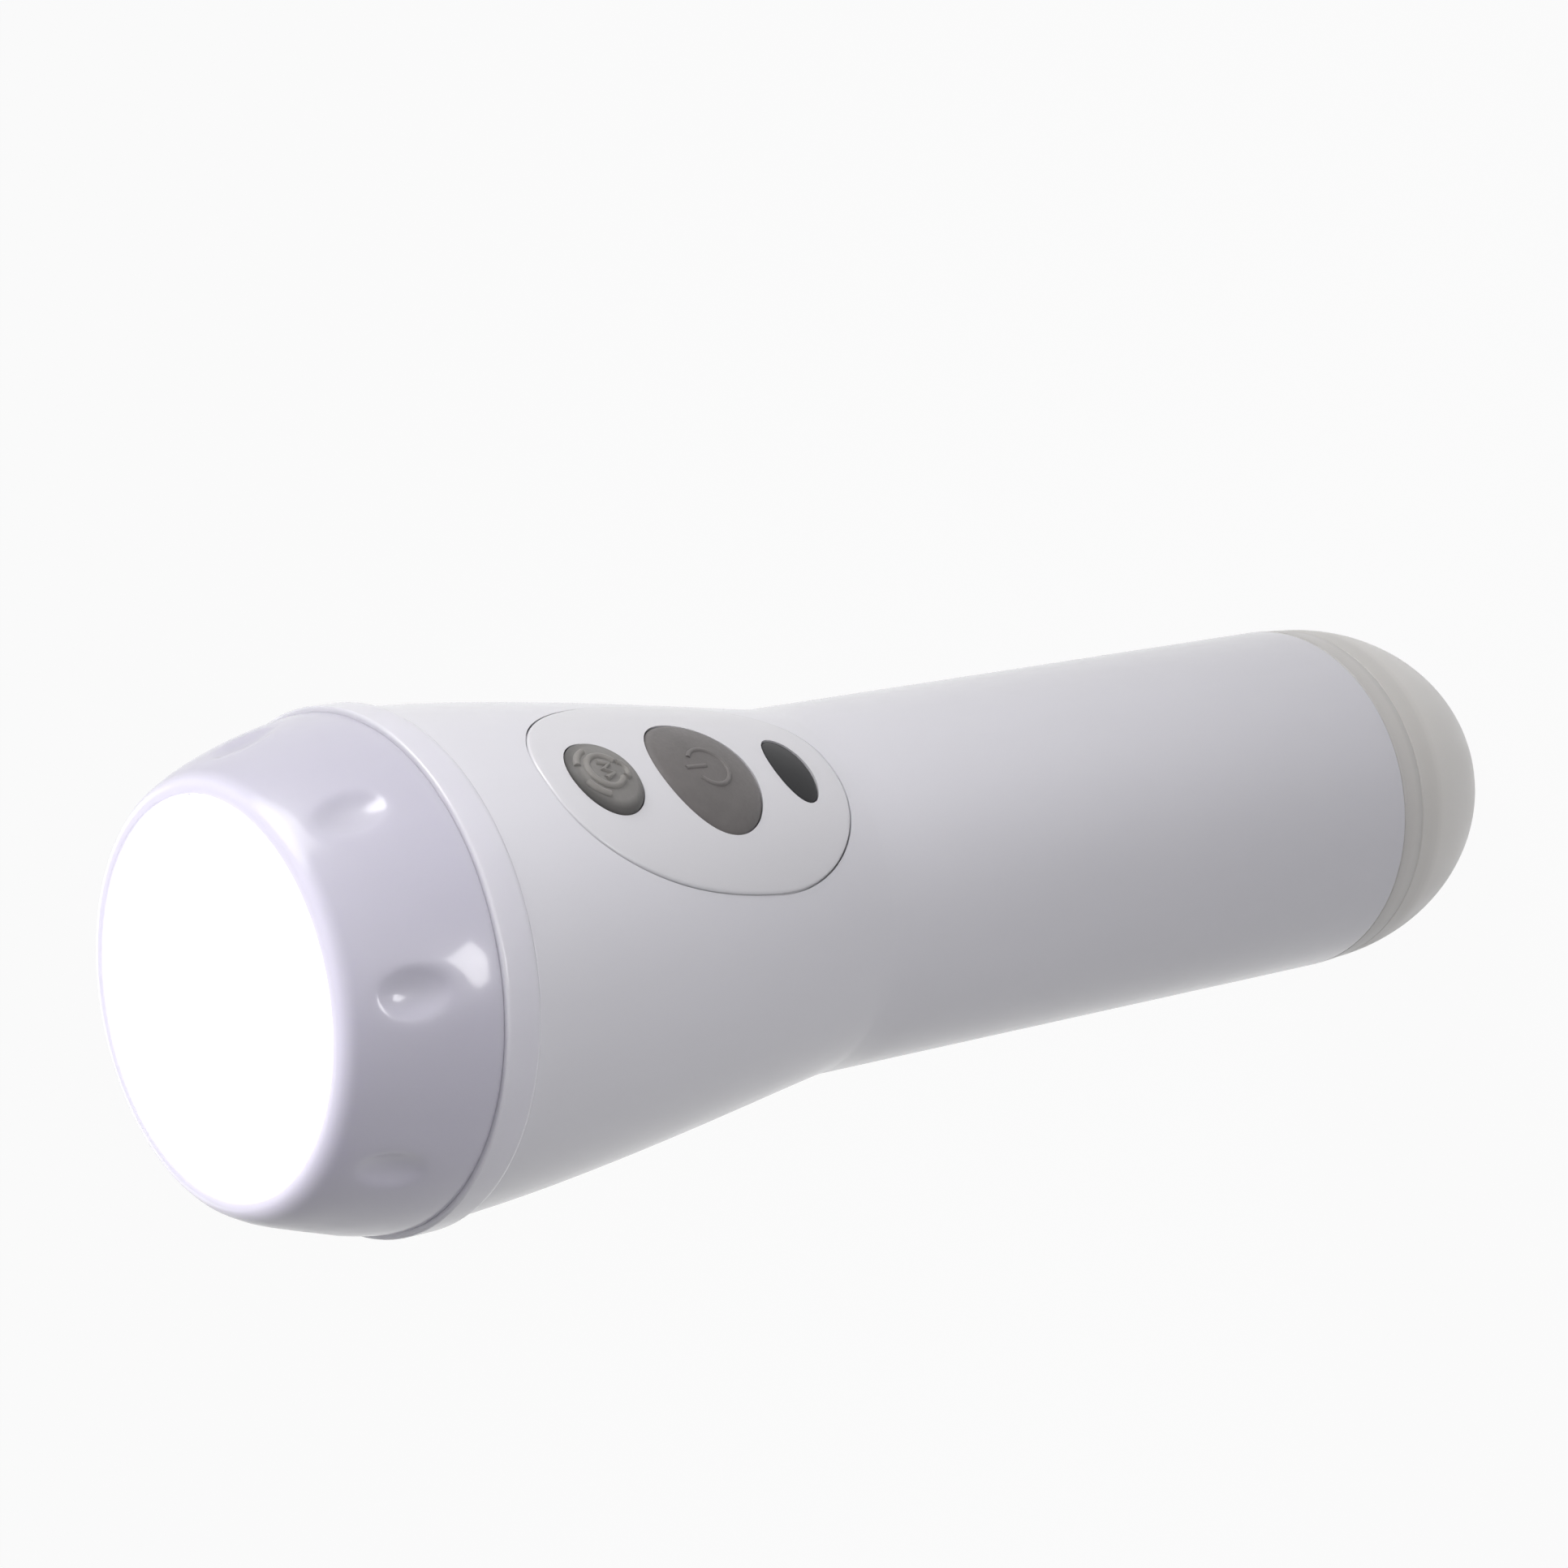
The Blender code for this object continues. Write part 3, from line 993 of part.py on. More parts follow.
def make_holder(shop):
    """Two pocketed caps joined by ribs that stand between the cells."""
    height = HOLDER_TOP - HOLDER_BOTTOM
    cap_height = HOLDER_FLOOR + POCKET_DEPTH
    holder = shop.place("battery_holder", rod_mesh("battery_holder", INNER_DISC_RADIUS, cap_height, ROUND_COUNT),
                        shop.black, (0.0, 0.0, HOLDER_BOTTOM))
    upper = shop.tool("holder_upper", rod_mesh("holder_upper", INNER_DISC_RADIUS, cap_height, ROUND_COUNT),
                      (0.0, 0.0, HOLDER_TOP - cap_height))
    rib_outer = INNER_DISC_RADIUS - RIB_HALF_WIDTH
    rib_height = height - cap_height
    for index in range(CELL_COUNT):
        angle = math.radians(-90.0) + 2.0 * math.pi * index / CELL_COUNT
        size = (rib_outer - RIB_INNER, 2.0 * RIB_HALF_WIDTH, rib_height)
        mesh = box_mesh("holder_rib", size, ((rib_outer + RIB_INNER) / 2.0, 0.0, 0.0))
        mesh.transform(Matrix.Rotation(angle, 4, "Z"))
        rib = shop.tool("holder_rib_%d" % (index + 1), mesh, (0.0, 0.0, HOLDER_BOTTOM + height / 2.0))
        combine(holder, rib, "UNION")
    combine(holder, upper, "UNION")
    for index, centre in enumerate(cell_places()):
        pocket = rod_mesh("pocket", POCKET_RADIUS, POCKET_CEILING - POCKET_FLOOR, ROUND_COUNT, centre)
        combine(holder, shop.tool("pocket_%d" % (index + 1), pocket, (0.0, 0.0, POCKET_FLOOR)), "DIFFERENCE")
    for index, centre in enumerate(tail_wire_places()):
        notch = rod_mesh("holder_notch", WIRE_HOLE_RADIUS, height + 2.0 * OVERRUN, SMALL_COUNT, centre)
        tool = shop.tool("holder_notch_%d" % (index + 1), notch, (0.0, 0.0, HOLDER_BOTTOM - OVERRUN))
        combine(holder, tool, "DIFFERENCE")


def cell_profile():
    """Profile of one cell, from its nub down."""
    top = CELL_LENGTH
    nub = top + CELL_NUB_HEIGHT
    return [(0.0, nub), (CELL_NUB_RADIUS, nub), (CELL_NUB_RADIUS, top), (CELL_RADIUS - CELL_EDGE, top),
            (CELL_RADIUS, top - CELL_EDGE), (CELL_RADIUS, CELL_EDGE), (CELL_RADIUS - CELL_EDGE, 0.0), (0.0, 0.0)]


def spring_route():
    """A conical coil: wide at its foot, narrow where it meets the cell."""
    rise = SPRING_HEIGHT - 2.0 * SPRING_WIRE
    total = SPRING_TURNS * SPRING_POINTS_PER_TURN
    route = []
    for index in range(total + 1):
        share = index / total
        angle = 2.0 * math.pi * SPRING_TURNS * share
        radius = SPRING_FOOT_RADIUS + (SPRING_TIP_RADIUS - SPRING_FOOT_RADIUS) * share
        route.append((radius * math.cos(angle), radius * math.sin(angle), SPRING_WIRE + rise * share))
    return route


def make_cells(shop):
    """The cells with a spring at each flat end and a plate at each nub; the middle one is upside down."""
    low = POCKET_FLOOR
    high = POCKET_CEILING
    for index, (x, y) in enumerate(cell_places()):
        flipped = index == 1
        flip = Matrix.Rotation(math.pi, 4, "X") if flipped else Matrix.Identity(4)
        start = high if flipped else low
        sign = -1.0 if flipped else 1.0
        spring_base = start + sign * SEAM
        cell_base = spring_base + sign * (SPRING_HEIGHT + SEAM)
        plate_base = cell_base + sign * (CELL_LENGTH + CELL_NUB_HEIGHT + SEAM)
        number = index + 1
        cell = shop.place("battery_cell_%d" % number, profile_mesh("cell", cell_profile(), 0.0, closed=False),
                          shop.cell, (x, y, cell_base))
        cell.rotation_euler = flip.to_euler()
        turn(cell, SMALL_COUNT + SMALL_COUNT // 2)
        plate = rod_mesh("contact_plate", PLATE_RADIUS, PLATE_HEIGHT, SMALL_COUNT)
        plate.transform(flip)
        shop.place("contact_plate_%d" % number, plate, shop.steel, (x, y, plate_base))
        route = [tuple(flip @ Vector(point)) for point in spring_route()]
        spring = strand(shop, "contact_spring_%d" % number, route, SPRING_WIRE, shop.steel, 1)
        spring.location = (x, y, spring_base)


# Tail

def make_tail_ring(shop):
    """The pale ring at the tail, with a spigot that goes up into the body."""
    points = [(TAIL_SPIGOT_RADIUS, TAIL_SPIGOT_TOP), (TAIL_SPIGOT_RADIUS, RING_TOP),
              (TAIL_RADIUS, RING_TOP), (DOME_RADIUS, RING_BOTTOM), (TAIL_RING_BORE, RING_BOTTOM),
              (TAIL_RING_BORE, TAIL_SPIGOT_TOP)]
    turned(shop, "tail_ring", points, shop.frosted, RING_BOTTOM, FINE_COUNT)


def make_dome(shop):
    """The frosted night-light dome: an elliptical bowl with a flat foot and a short spigot."""
    ceiling = DOME_TOP - DOME_WALL
    spigot_top = DOME_TOP + DOME_SPIGOT_LENGTH
    inside = [(dome_radius(height, DOME_WALL), height) for height in heights(DOME_WALL, ceiling, DOME_ROWS)]
    outside = [(dome_radius(height, 0.0), height) for height in heights(DOME_TOP, 0.0, DOME_ROWS)]
    rim = [(DOME_BORE, ceiling), (DOME_BORE, spigot_top), (DOME_SPIGOT_RADIUS, spigot_top),
           (DOME_SPIGOT_RADIUS, DOME_TOP)]
    points = [(0.0, DOME_WALL)] + inside + rim + outside + [(0.0, 0.0)]
    turned(shop, "night_dome", points, shop.frosted, 0.0, FINE_COUNT, closed=False)


def tail_screw_places():
    """Centres of the posts and screws that hold the night board."""
    return round_places(TAIL_SCREW_COUNT, POST_CIRCLE, math.radians(90.0))


def coil_lead_places():
    """Where the two coil leads rise beside the ferrite."""
    return round_places(COIL_LEAD_COUNT, COIL_LEAD_CIRCLE, math.radians(0.0))


def make_bulkhead(shop):
    """The disc between the pack and the tail, with posts that reach down to the night board."""
    bulkhead = shop.place("tail_bulkhead", rod_mesh("tail_bulkhead", INNER_DISC_RADIUS, BULKHEAD_HEIGHT, ROUND_COUNT),
                          shop.inner, (0.0, 0.0, BULKHEAD_BOTTOM))
    post_low = NIGHT_BOARD_TOP + SEAM
    post_high = BULKHEAD_BOTTOM + BULKHEAD_HEIGHT / 2.0
    screw_high = NIGHT_BOARD_BOTTOM - SEAM + TAIL_SCREW_LENGTH + SEAM
    for index, centre in enumerate(tail_screw_places()):
        post = rod_mesh("tail_post", POST_RADIUS, post_high - post_low, SMALL_COUNT, centre)
        combine(bulkhead, shop.tool("tail_post_%d" % (index + 1), post, (0.0, 0.0, post_low)), "UNION")
    for index, centre in enumerate(tail_screw_places()):
        depth = screw_high - post_low + OVERRUN
        hole = rod_mesh("post_hole", SCREW_RADIUS + SCREW_CLEARANCE, depth, SMALL_COUNT, centre)
        tool = shop.tool("post_hole_%d" % (index + 1), hole, (0.0, 0.0, post_low - OVERRUN))
        combine(bulkhead, tool, "DIFFERENCE")
    for index, centre in enumerate(tail_wire_places()):
        hole = rod_mesh("bulkhead_hole", WIRE_HOLE_RADIUS, BULKHEAD_HEIGHT + 2.0 * OVERRUN, SMALL_COUNT, centre)
        tool = shop.tool("bulkhead_hole_%d" % (index + 1), hole, (0.0, 0.0, BULKHEAD_BOTTOM - OVERRUN))
        combine(bulkhead, tool, "DIFFERENCE")


def make_night_light(shop):
    """The small board behind the dome, with its LEDs and its screws."""
    board = shop.place("night_board", rod_mesh("night_board", NIGHT_BOARD_RADIUS, NIGHT_BOARD_HEIGHT, ROUND_COUNT),
                       shop.board, (0.0, 0.0, NIGHT_BOARD_BOTTOM))
    under = NIGHT_BOARD_BOTTOM - SEAM
    for index, (x, y) in enumerate(tail_screw_places()):
        depth = NIGHT_BOARD_HEIGHT + 2.0 * OVERRUN
        hole = rod_mesh("night_hole", SCREW_RADIUS + SCREW_CLEARANCE, depth, SMALL_COUNT, (x, y))
        tool = shop.tool("night_hole_%d" % (index + 1), hole, (0.0, 0.0, NIGHT_BOARD_BOTTOM - OVERRUN))
        combine(board, tool, "DIFFERENCE")
        screw = screw_mesh("tail_screw", TAIL_SCREW_LENGTH)
        screw.transform(Matrix.Rotation(math.pi, 4, "X"))
        shop.place("tail_screw_%d" % (index + 1), screw, shop.steel, (x, y, under + TAIL_SCREW_LENGTH))
    side = 2.0 * NIGHT_LED_HALF
    for index, (x, y) in enumerate(round_places(NIGHT_LED_COUNT, NIGHT_LED_CIRCLE, math.radians(-90.0))):
        chip = box_mesh("night_led", (side, side, NIGHT_LED_HEIGHT))
        shop.place("night_led_%d" % (index + 1), chip, shop.phosphor, (x, y, under - NIGHT_LED_HEIGHT / 2.0))


def make_coil(shop):
    """The charging coil on the dome's floor, the ferrite over it, their carrier and the two leads."""
    turned(shop, "charging_coil", [(COIL_OUTER, COIL_TOP), (COIL_OUTER, COIL_BOTTOM), (COIL_INNER, COIL_BOTTOM),
                                   (COIL_INNER, COIL_TOP)], shop.copper, COIL_BOTTOM)
    shop.place("coil_ferrite", rod_mesh("coil_ferrite", COIL_DISC_RADIUS, FERRITE_HEIGHT, ROUND_COUNT), shop.ferrite,
               (0.0, 0.0, FERRITE_BOTTOM))
    shoulder = CARRIER_BOTTOM + CARRIER_DISC_HEIGHT
    turned(shop, "coil_carrier", [(0.0, CARRIER_TOP), (CARRIER_POST_RADIUS, CARRIER_TOP),
                                  (CARRIER_POST_RADIUS, shoulder), (COIL_DISC_RADIUS, shoulder),
                                  (COIL_DISC_RADIUS, CARRIER_BOTTOM), (0.0, CARRIER_BOTTOM)],
           shop.inner, CARRIER_BOTTOM, closed=False)
    height = (COIL_BOTTOM + COIL_TOP) / 2.0
    top = NIGHT_BOARD_BOTTOM - SEAM
    start = (COIL_OUTER + SEAM) / COIL_LEAD_CIRCLE
    for index, (x, y) in enumerate(coil_lead_places()):
        route = rounded_route([(x * start, y * start, height), (x, y, height), (x, y, top)], WIRE_RADIUS * 2.0)
        strand(shop, "coil_lead_%d" % (index + 1), route, WIRE_RADIUS, shop.copper, WIRE_BEVEL_COUNT)


# Wires

def make_wires(shop):
    """The wires from the main board to the LED board, to the pack and to the night board."""
    colours = [("red", shop.red), ("black", shop.dark)]
    board_side = -(BOARD_BACK - SEAM)
    over_led_board = LED_BOARD_TOP + SEAM + WIRE_RADIUS
    inward = LED_WIRE_REACH / math.hypot(*wire_places()[0])
    for (colour, material), (x, y) in zip(colours, wire_places()):
        route = rounded_route([(x, board_side, LED_WIRE_HEIGHT), (x, y, LED_WIRE_HEIGHT), (x, y, over_led_board),
                               (x * inward, y * inward, over_led_board)], WIRE_BEND)
        strand(shop, "led_wire_" + colour, route, WIRE_RADIUS, material, WIRE_BEVEL_COUNT)
    for (colour, material), (x, y) in zip(colours, pack_wire_places()):
        route = rounded_route([(x, y, HOLDER_TOP + SEAM), (x, y, PACK_WIRE_HEIGHT),
                               (x, board_side, PACK_WIRE_HEIGHT)], WIRE_BEND)
        strand(shop, "pack_wire_" + colour, route, WIRE_RADIUS, material, WIRE_BEVEL_COUNT)
    for index, (x, y) in enumerate(tail_wire_places()):
        side = math.copysign(TAIL_WIRE_SPREAD, x)
        route = rounded_route([(x, y, NIGHT_BOARD_TOP + SEAM), (x, y, TAIL_WIRE_TURN),
                               (side, board_side / 4.0, TAIL_WIRE_HEIGHT), (side, board_side, TAIL_WIRE_HEIGHT)],
                              WIRE_BEND)
        strand(shop, "tail_wire_%d" % (index + 1), route, WIRE_RADIUS, shop.dark, WIRE_BEVEL_COUNT)


def main():
    """Builds the whole torch."""
    clear_scene()
    shop = Workshop()
    make_head(shop)
    make_front(shop)
    make_reflector(shop)
    make_light(shop)
    make_body(shop)
    make_panel(shop)
    make_button(shop, "mode", MODE_HALF_WIDTH, MODE_HALF_HEIGHT, MODE_HEIGHT, shop.grey_rubber)
    make_button(shop, "power", POWER_HALF_WIDTH, POWER_HALF_HEIGHT, POWER_HEIGHT, shop.dark_rubber)
    make_window(shop)
    make_board(shop)
    make_chassis(shop)
    make_holder(shop)
    make_cells(shop)
    make_tail_ring(shop)
    make_dome(shop)
    make_bulkhead(shop)
    make_night_light(shop)
    make_coil(shop)
    make_wires(shop)
    bpy.context.view_layer.update()


main()
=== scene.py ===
"""Rechargeable torch that stands on its night-light dome, dressed for a plain studio photograph.

The torch's axis is +Z with the lens at the top, and its control panel faces -Y. Lengths are in metres.
"""

import logging
import math
from collections.abc import Callable, Iterable, Sequence
from dataclasses import dataclass
from enum import Enum

import bmesh
import bpy
from mathutils import Matrix, Vector


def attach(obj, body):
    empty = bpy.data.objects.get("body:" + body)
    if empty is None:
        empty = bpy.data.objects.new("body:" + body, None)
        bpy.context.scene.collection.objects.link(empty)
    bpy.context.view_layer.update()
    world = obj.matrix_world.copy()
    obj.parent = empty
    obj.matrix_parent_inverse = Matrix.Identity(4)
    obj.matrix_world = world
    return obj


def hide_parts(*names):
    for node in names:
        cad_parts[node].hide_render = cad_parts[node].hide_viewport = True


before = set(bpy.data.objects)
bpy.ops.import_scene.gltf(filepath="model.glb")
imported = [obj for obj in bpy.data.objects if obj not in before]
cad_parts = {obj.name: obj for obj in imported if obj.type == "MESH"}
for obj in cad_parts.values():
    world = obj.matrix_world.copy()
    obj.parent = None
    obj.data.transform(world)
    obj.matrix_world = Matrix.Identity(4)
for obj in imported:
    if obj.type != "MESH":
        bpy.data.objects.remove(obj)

LOG = logging.getLogger("torch")
MM = 0.001

# Distance within which vertices merge, and cell of the grid on which a ring's points are told apart
WELD = 0.0005 * MM
GRID = 0.01 * WELD

# Largest share of a side that the rounding of a corner takes
SIDE_SHARE = 0.49

# Range in which a noise pattern mostly lies
NOISE_LOW = 0.3
NOISE_HIGH = 0.7

Colour = tuple[float, float, float]
Point = tuple[float, float, float]
Pair = tuple[float, float]
Ring = list[Vector]
Piece = bpy.types.Object
Socket = bpy.types.NodeSocket
Value = Socket | float | Colour

WHITE = (1.0, 1.0, 1.0)
BLACK = (0.0, 0.0, 0.0)


class Rides(Enum):
    """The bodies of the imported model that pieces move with."""

    TORCH = "torch"
    MODE_KEY = "mode_key"
    POWER_KEY = "power_key"


class Mark(Enum):
    """Plain symbols that can stand on a key."""

    LAMP = "lamp"
    POWER = "power"


@dataclass(frozen=True)
class Corner:
    """One corner of a turned profile.

    Args:
        radius: Distance from the axis.
        height: Height above the ground.
        rounding: Length that the rounding takes from each side of the corner.
    """

    radius: float
    height: float
    rounding: float = 0.0


@dataclass(frozen=True)
class TorchPlan:
    """Sizes that the pieces share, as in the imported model."""

    seam: float = 0.3 * MM
    dome_top: float = 20.65 * MM
    dome_radius: float = 21.9 * MM
    dome_depth: float = 27.0 * MM
    dome_rise: float = 0.85 * MM
    ring_bottom: float = 20.71 * MM
    ring_top: float = 24.33 * MM
    tail_radius: float = 22.15 * MM
    body_bottom: float = 24.4 * MM
    body_top: float = 168.55 * MM
    grip_radius: float = 21.75 * MM
    neck_radius: float = 28.25 * MM
    flare_length: float = 56.35 * MM
    flare_power: float = 1.45
    flare_fade: float = 1.1
    collar_bottom: float = 168.67 * MM
    collar_top: float = 173.2 * MM
    collar_radius: float = 29.0 * MM
    head_bottom: float = 173.25 * MM
    head_top: float = 190.0 * MM
    head_radius: float = 28.35 * MM
    rim_radius: float = 22.9 * MM
    barrel_power: float = 1.35
    barrel_fade: float = 0.74
    body_wall: float = 2.2 * MM
    spigot_radius: float = 26.0 * MM
    panel_line: float = 132.8 * MM
    panel_upper: float = 26.0 * MM
    panel_lower: float = 17.6 * MM
    panel_half_width: float = 14.3 * MM
    panel_thickness: float = 0.9 * MM
    panel_groove: float = 0.2 * MM
    panel_growth: float = 0.08 * MM
    panel_proud: float = 0.14 * MM
    panel_ledge: float = 0.34 * MM
    hole_gap: float = 0.12 * MM
    panel_power: float = 2.3

    def body_at(self, height: float, inset: float = 0.0) -> float:
        """Radius of the body's outer face, or of a face inside it.

        Args:
            height: Height above the ground.
            inset: How far inside the outer face it is taken.

        Returns:
            Distance from the axis.
        """
        fall = self.body_top - height
        if fall < self.flare_length:
            share = max(fall, 0.0) / self.flare_length
            swell = (1.0 - share ** self.flare_power) ** self.flare_fade
            return self.grip_radius + (self.neck_radius - self.grip_radius) * swell - inset
        share = (fall - self.flare_length) / (self.body_top - self.body_bottom - self.flare_length)
        return self.grip_radius + (self.tail_radius - self.grip_radius) * share - inset

    def head_at(self, height: float, inset: float = 0.0) -> float:
        """Radius of the head's outer face, or of a face inside it.

        Args:
            height: Height above the ground.
            inset: How far inside the outer face it is taken.

        Returns:
            Distance from the axis.
        """
        share = min(max((height - self.head_bottom) / (self.head_top - self.head_bottom), 0.0), 1.0)
        swell = (1.0 - share ** self.barrel_power) ** self.barrel_fade
        return self.rim_radius + (self.head_radius - self.rim_radius) * swell - inset

    def dome_at(self, height: float, inset: float = 0.0) -> float:
        """Radius at a height of the tail dome's outer face, or of a face inside it."""
        share = (self.dome_top + self.dome_rise - height) / (self.dome_depth - inset)
        return (self.dome_radius - inset) * math.sqrt(max(1.0 - share * share, 0.0))

    def on_body(self, across: float, height: float, depth: float) -> Vector:
        """Place on the front of the body.

        Args:
            across: Distance to the right of the panel's middle line.
            height: Height above the ground.
            depth: Depth under the body's surface.

        Returns:
            The place.
        """
        radius = self.body_at(height)
        front = math.sqrt(max(radius * radius - across * across, 0.0))
        shrink = 1.0 - depth / radius
        return Vector((across * shrink, -front * shrink, height))

    def lean_at(self, height: float, reach: float) -> float:
        """Angle by which the body leans out, in radians, taken over a reach above and below a height."""
        return math.atan2(self.body_at(height + reach) - self.body_at(height - reach), 2.0 * reach)

    def egg(self, share: float, margin: float, steps: int) -> list[Pair]:
        """Outline of the control panel.

        Args:
            share: Size of the outline, where 1 is the whole panel.
            margin: How far the outline is grown.
            steps: Number of points.

        Returns:
            Points as distance to the right and height above the ground.
        """
        points = []
        for angle in turns(steps):
            across = math.copysign(abs(math.cos(angle)) ** (2.0 / self.panel_power), math.cos(angle))
            up = math.copysign(abs(math.sin(angle)) ** (2.0 / self.panel_power), math.sin(angle))
            reach = self.panel_upper if up > 0.0 else self.panel_lower
            points.append((across * (self.panel_half_width + margin) * share,
                           self.panel_line + up * (reach + margin) * share))
        return points


def spread(low: float, high: float, steps: int) -> list[float]:
    """Even places from low to high, both included, with that number of steps between them."""
    return [low + (high - low) * step / steps for step in range(steps + 1)]


def traced(radius_at: Callable[[float, float], float], first: float, last: float, steps: int,
           inset: float = 0.0) -> list[Vector]:
    """Points as radius and height that follow a face from one height to another, with that number of steps."""
    return [Vector((radius_at(height, inset), height)) for height in spread(first, last, steps)]


def turns(count: int) -> list[float]:
    """Angles of even points round a full turn, starting half a step in."""
    return [2.0 * math.pi * (index + 0.5) / count for index in range(count)]


def oval(half: Pair, distance: float, height: float, points: int) -> Ring:
    """An upright oval in front of the axis, from half its width and height."""
    return [Vector((math.cos(angle) * half[0], -distance, height + math.sin(angle) * half[1]))
            for angle in turns(points)]


def quarter_round(steps: int) -> list[Pair]:
    """Inset and depth of the points on a rounded edge of size 1, from the face out to the side."""
    angles = [math.pi / 2.0 * step / steps for step in range(steps + 1)]
    return [(1.0 - math.sin(angle), 1.0 - math.cos(angle)) for angle in angles]


def grown(half: Pair, margin: float) -> Pair:
    """Half sizes with a margin all round."""
    return half[0] + margin, half[1] + margin


def bent(value: float, bend: float) -> float:
    """The value where it is well above 0 and 0 where it is well below, with a soft bend between."""
    return 0.5 * (value + math.hypot(value, bend))


def shade(colour: Colour, factor: float) -> Colour:
    """A lighter or darker version of a colour."""
    return tuple(min(value * factor, 1.0) for value in colour)


def rounded(corners: Sequence[Corner], closed: bool, steps: int = 6) -> list[Vector]:
    """Turns corners into a profile with rounded edges.

    Args:
        corners: The corners in order.
        closed: Whether the last corner joins the first.
        steps: Number of steps in each rounding.

    Returns:
        Points as radius and height.
    """
    places = [Vector((corner.radius, corner.height)) for corner in corners]
    points = []
    for index, corner in enumerate(corners):
        place = places[index]
        at_end = not closed and index in (0, len(corners) - 1)
        if corner.rounding <= 0.0 or at_end:
            points.append(place)
            continue
        before = places[index - 1] - place
        after = places[(index + 1) % len(corners)] - place
        start = place + before.normalized() * min(corner.rounding, before.length * SIDE_SHARE)
        end = place + after.normalized() * min(corner.rounding, after.length * SIDE_SHARE)
        for step in range(steps + 1):
            share = step / steps
            points.append(start.lerp(place, share).lerp(place.lerp(end, share), share))
    return points


class Bench:
    """Modelling operations, as they are done in the viewport."""

    def clear(self) -> None:
        """Leaves edit mode and deselects everything."""
        if bpy.context.mode != "OBJECT":
            bpy.ops.object.mode_set(mode="OBJECT")
        bpy.ops.object.select_all(action="DESELECT")

    def activate(self, piece: Piece) -> None:
        """Makes a piece the only selected one.

        Args:
            piece: The piece.
        """
        self.clear()
        piece.select_set(True)
        bpy.context.view_layer.objects.active = piece

    def named(self, name: str) -> Piece:
        """Names the primitive that was just added.

        Args:
            name: Its new name.

        Returns:
            The piece.
        """
        piece = bpy.context.object
        piece.name = name
        piece.data.name = name
        return piece

    def lathe(self, name: str, points: Sequence[Vector], steps: int, closed: bool = False) -> Piece:
        """Turns a profile round the torch's axis.

        Args:
            name: Name of the piece.
            points: The profile as radius and height.
            steps: Number of steps round the axis.
            closed: Whether the last point joins the first.

        Returns:
            The turned piece.
        """
        self.clear()
        bpy.ops.mesh.primitive_plane_add(size=MM)
        piece = self.named(name)
        bpy.ops.object.mode_set(mode="EDIT")
        bpy.ops.mesh.select_all(action="SELECT")
        bpy.ops.mesh.merge(type="CENTER")
        here = points[0]
        bpy.ops.transform.translate(value=(here.x, 0.0, here.y))
        for point in list(points[1:]) + ([points[0]] if closed else []):
            step = point - here
            bpy.ops.mesh.extrude_vertices_move(TRANSFORM_OT_translate={"value": (step.x, 0.0, step.y)})
            here = point
        self.weld()
        bpy.ops.mesh.select_all(action="SELECT")
        bpy.ops.mesh.spin(steps=steps, angle=2.0 * math.pi, use_auto_merge=True, center=(0.0, 0.0, 0.0),
                          axis=(0.0, 0.0, 1.0))
        self.weld()
        self.close()
        return piece

    def weld(self) -> None:
        """Merges doubled vertices in edit mode."""
        bpy.ops.mesh.select_all(action="SELECT")
        bpy.ops.mesh.remove_doubles(threshold=WELD)

    def close(self) -> None:
        """Turns all faces outwards and leaves edit mode."""
        bpy.ops.mesh.select_all(action="SELECT")
        bpy.ops.mesh.normals_make_consistent(inside=False)
        bpy.ops.object.mode_set(mode="OBJECT")

    def loft(self, name: str, rings: Sequence[Ring]) -> Piece:
        """Extrudes a ring of points from place to place, and closes both ends.

        Args:
            name: Name of the piece.
            rings: Rings of the same number of points, in order.

        Returns:
            The closed piece.
        """
        self.clear()
        count = len(rings[0])
        bpy.ops.mesh.primitive_circle_add(vertices=count, radius=MM, fill_type="NOTHING")
        piece = self.named(name)
        for vertex, place in zip(piece.data.vertices, rings[0]):
            vertex.co = place
        bpy.ops.object.mode_set(mode="EDIT")
        bpy.ops.mesh.select_all(action="SELECT")
        bpy.ops.mesh.edge_face_add()
        bpy.ops.mesh.select_mode(type="EDGE")
        bpy.ops.mesh.select_all(action="SELECT")
        before = rings[0]
        for ring in rings[1:]:
            bpy.ops.mesh.extrude_edges_move(TRANSFORM_OT_translate={"value": (0.0, 0.0, 0.0)})
            self.move_ring(piece, before, ring)
            before = ring
        bpy.ops.mesh.edge_face_add()
        bpy.ops.mesh.select_mode(type="VERT")
        self.close()
        return piece

    def move_ring(self, piece: Piece, before: Ring, after: Ring) -> None:
        """Moves the selected ring of an edited mesh from one set of places to another.

        Args:
            piece: The piece in edit mode.
            before: Where the ring's points are.
            after: Where they go.
        """
        def cell(point: Vector) -> tuple[int, ...]:
            """The cell of a fine grid in which a point lies."""
            return tuple(round(value / GRID) for value in point)

        places = {cell(point): index for index, point in enumerate(before)}
        net = bmesh.from_edit_mesh(piece.data)
        for vertex in [item for item in net.verts if item.select]:
            index = places.get(cell(vertex.co))
            if index is None:
                index = min(range(len(before)), key=lambda item: (before[item] - vertex.co).length_squared)
            vertex.co = after[index]
        bmesh.update_edit_mesh(piece.data)

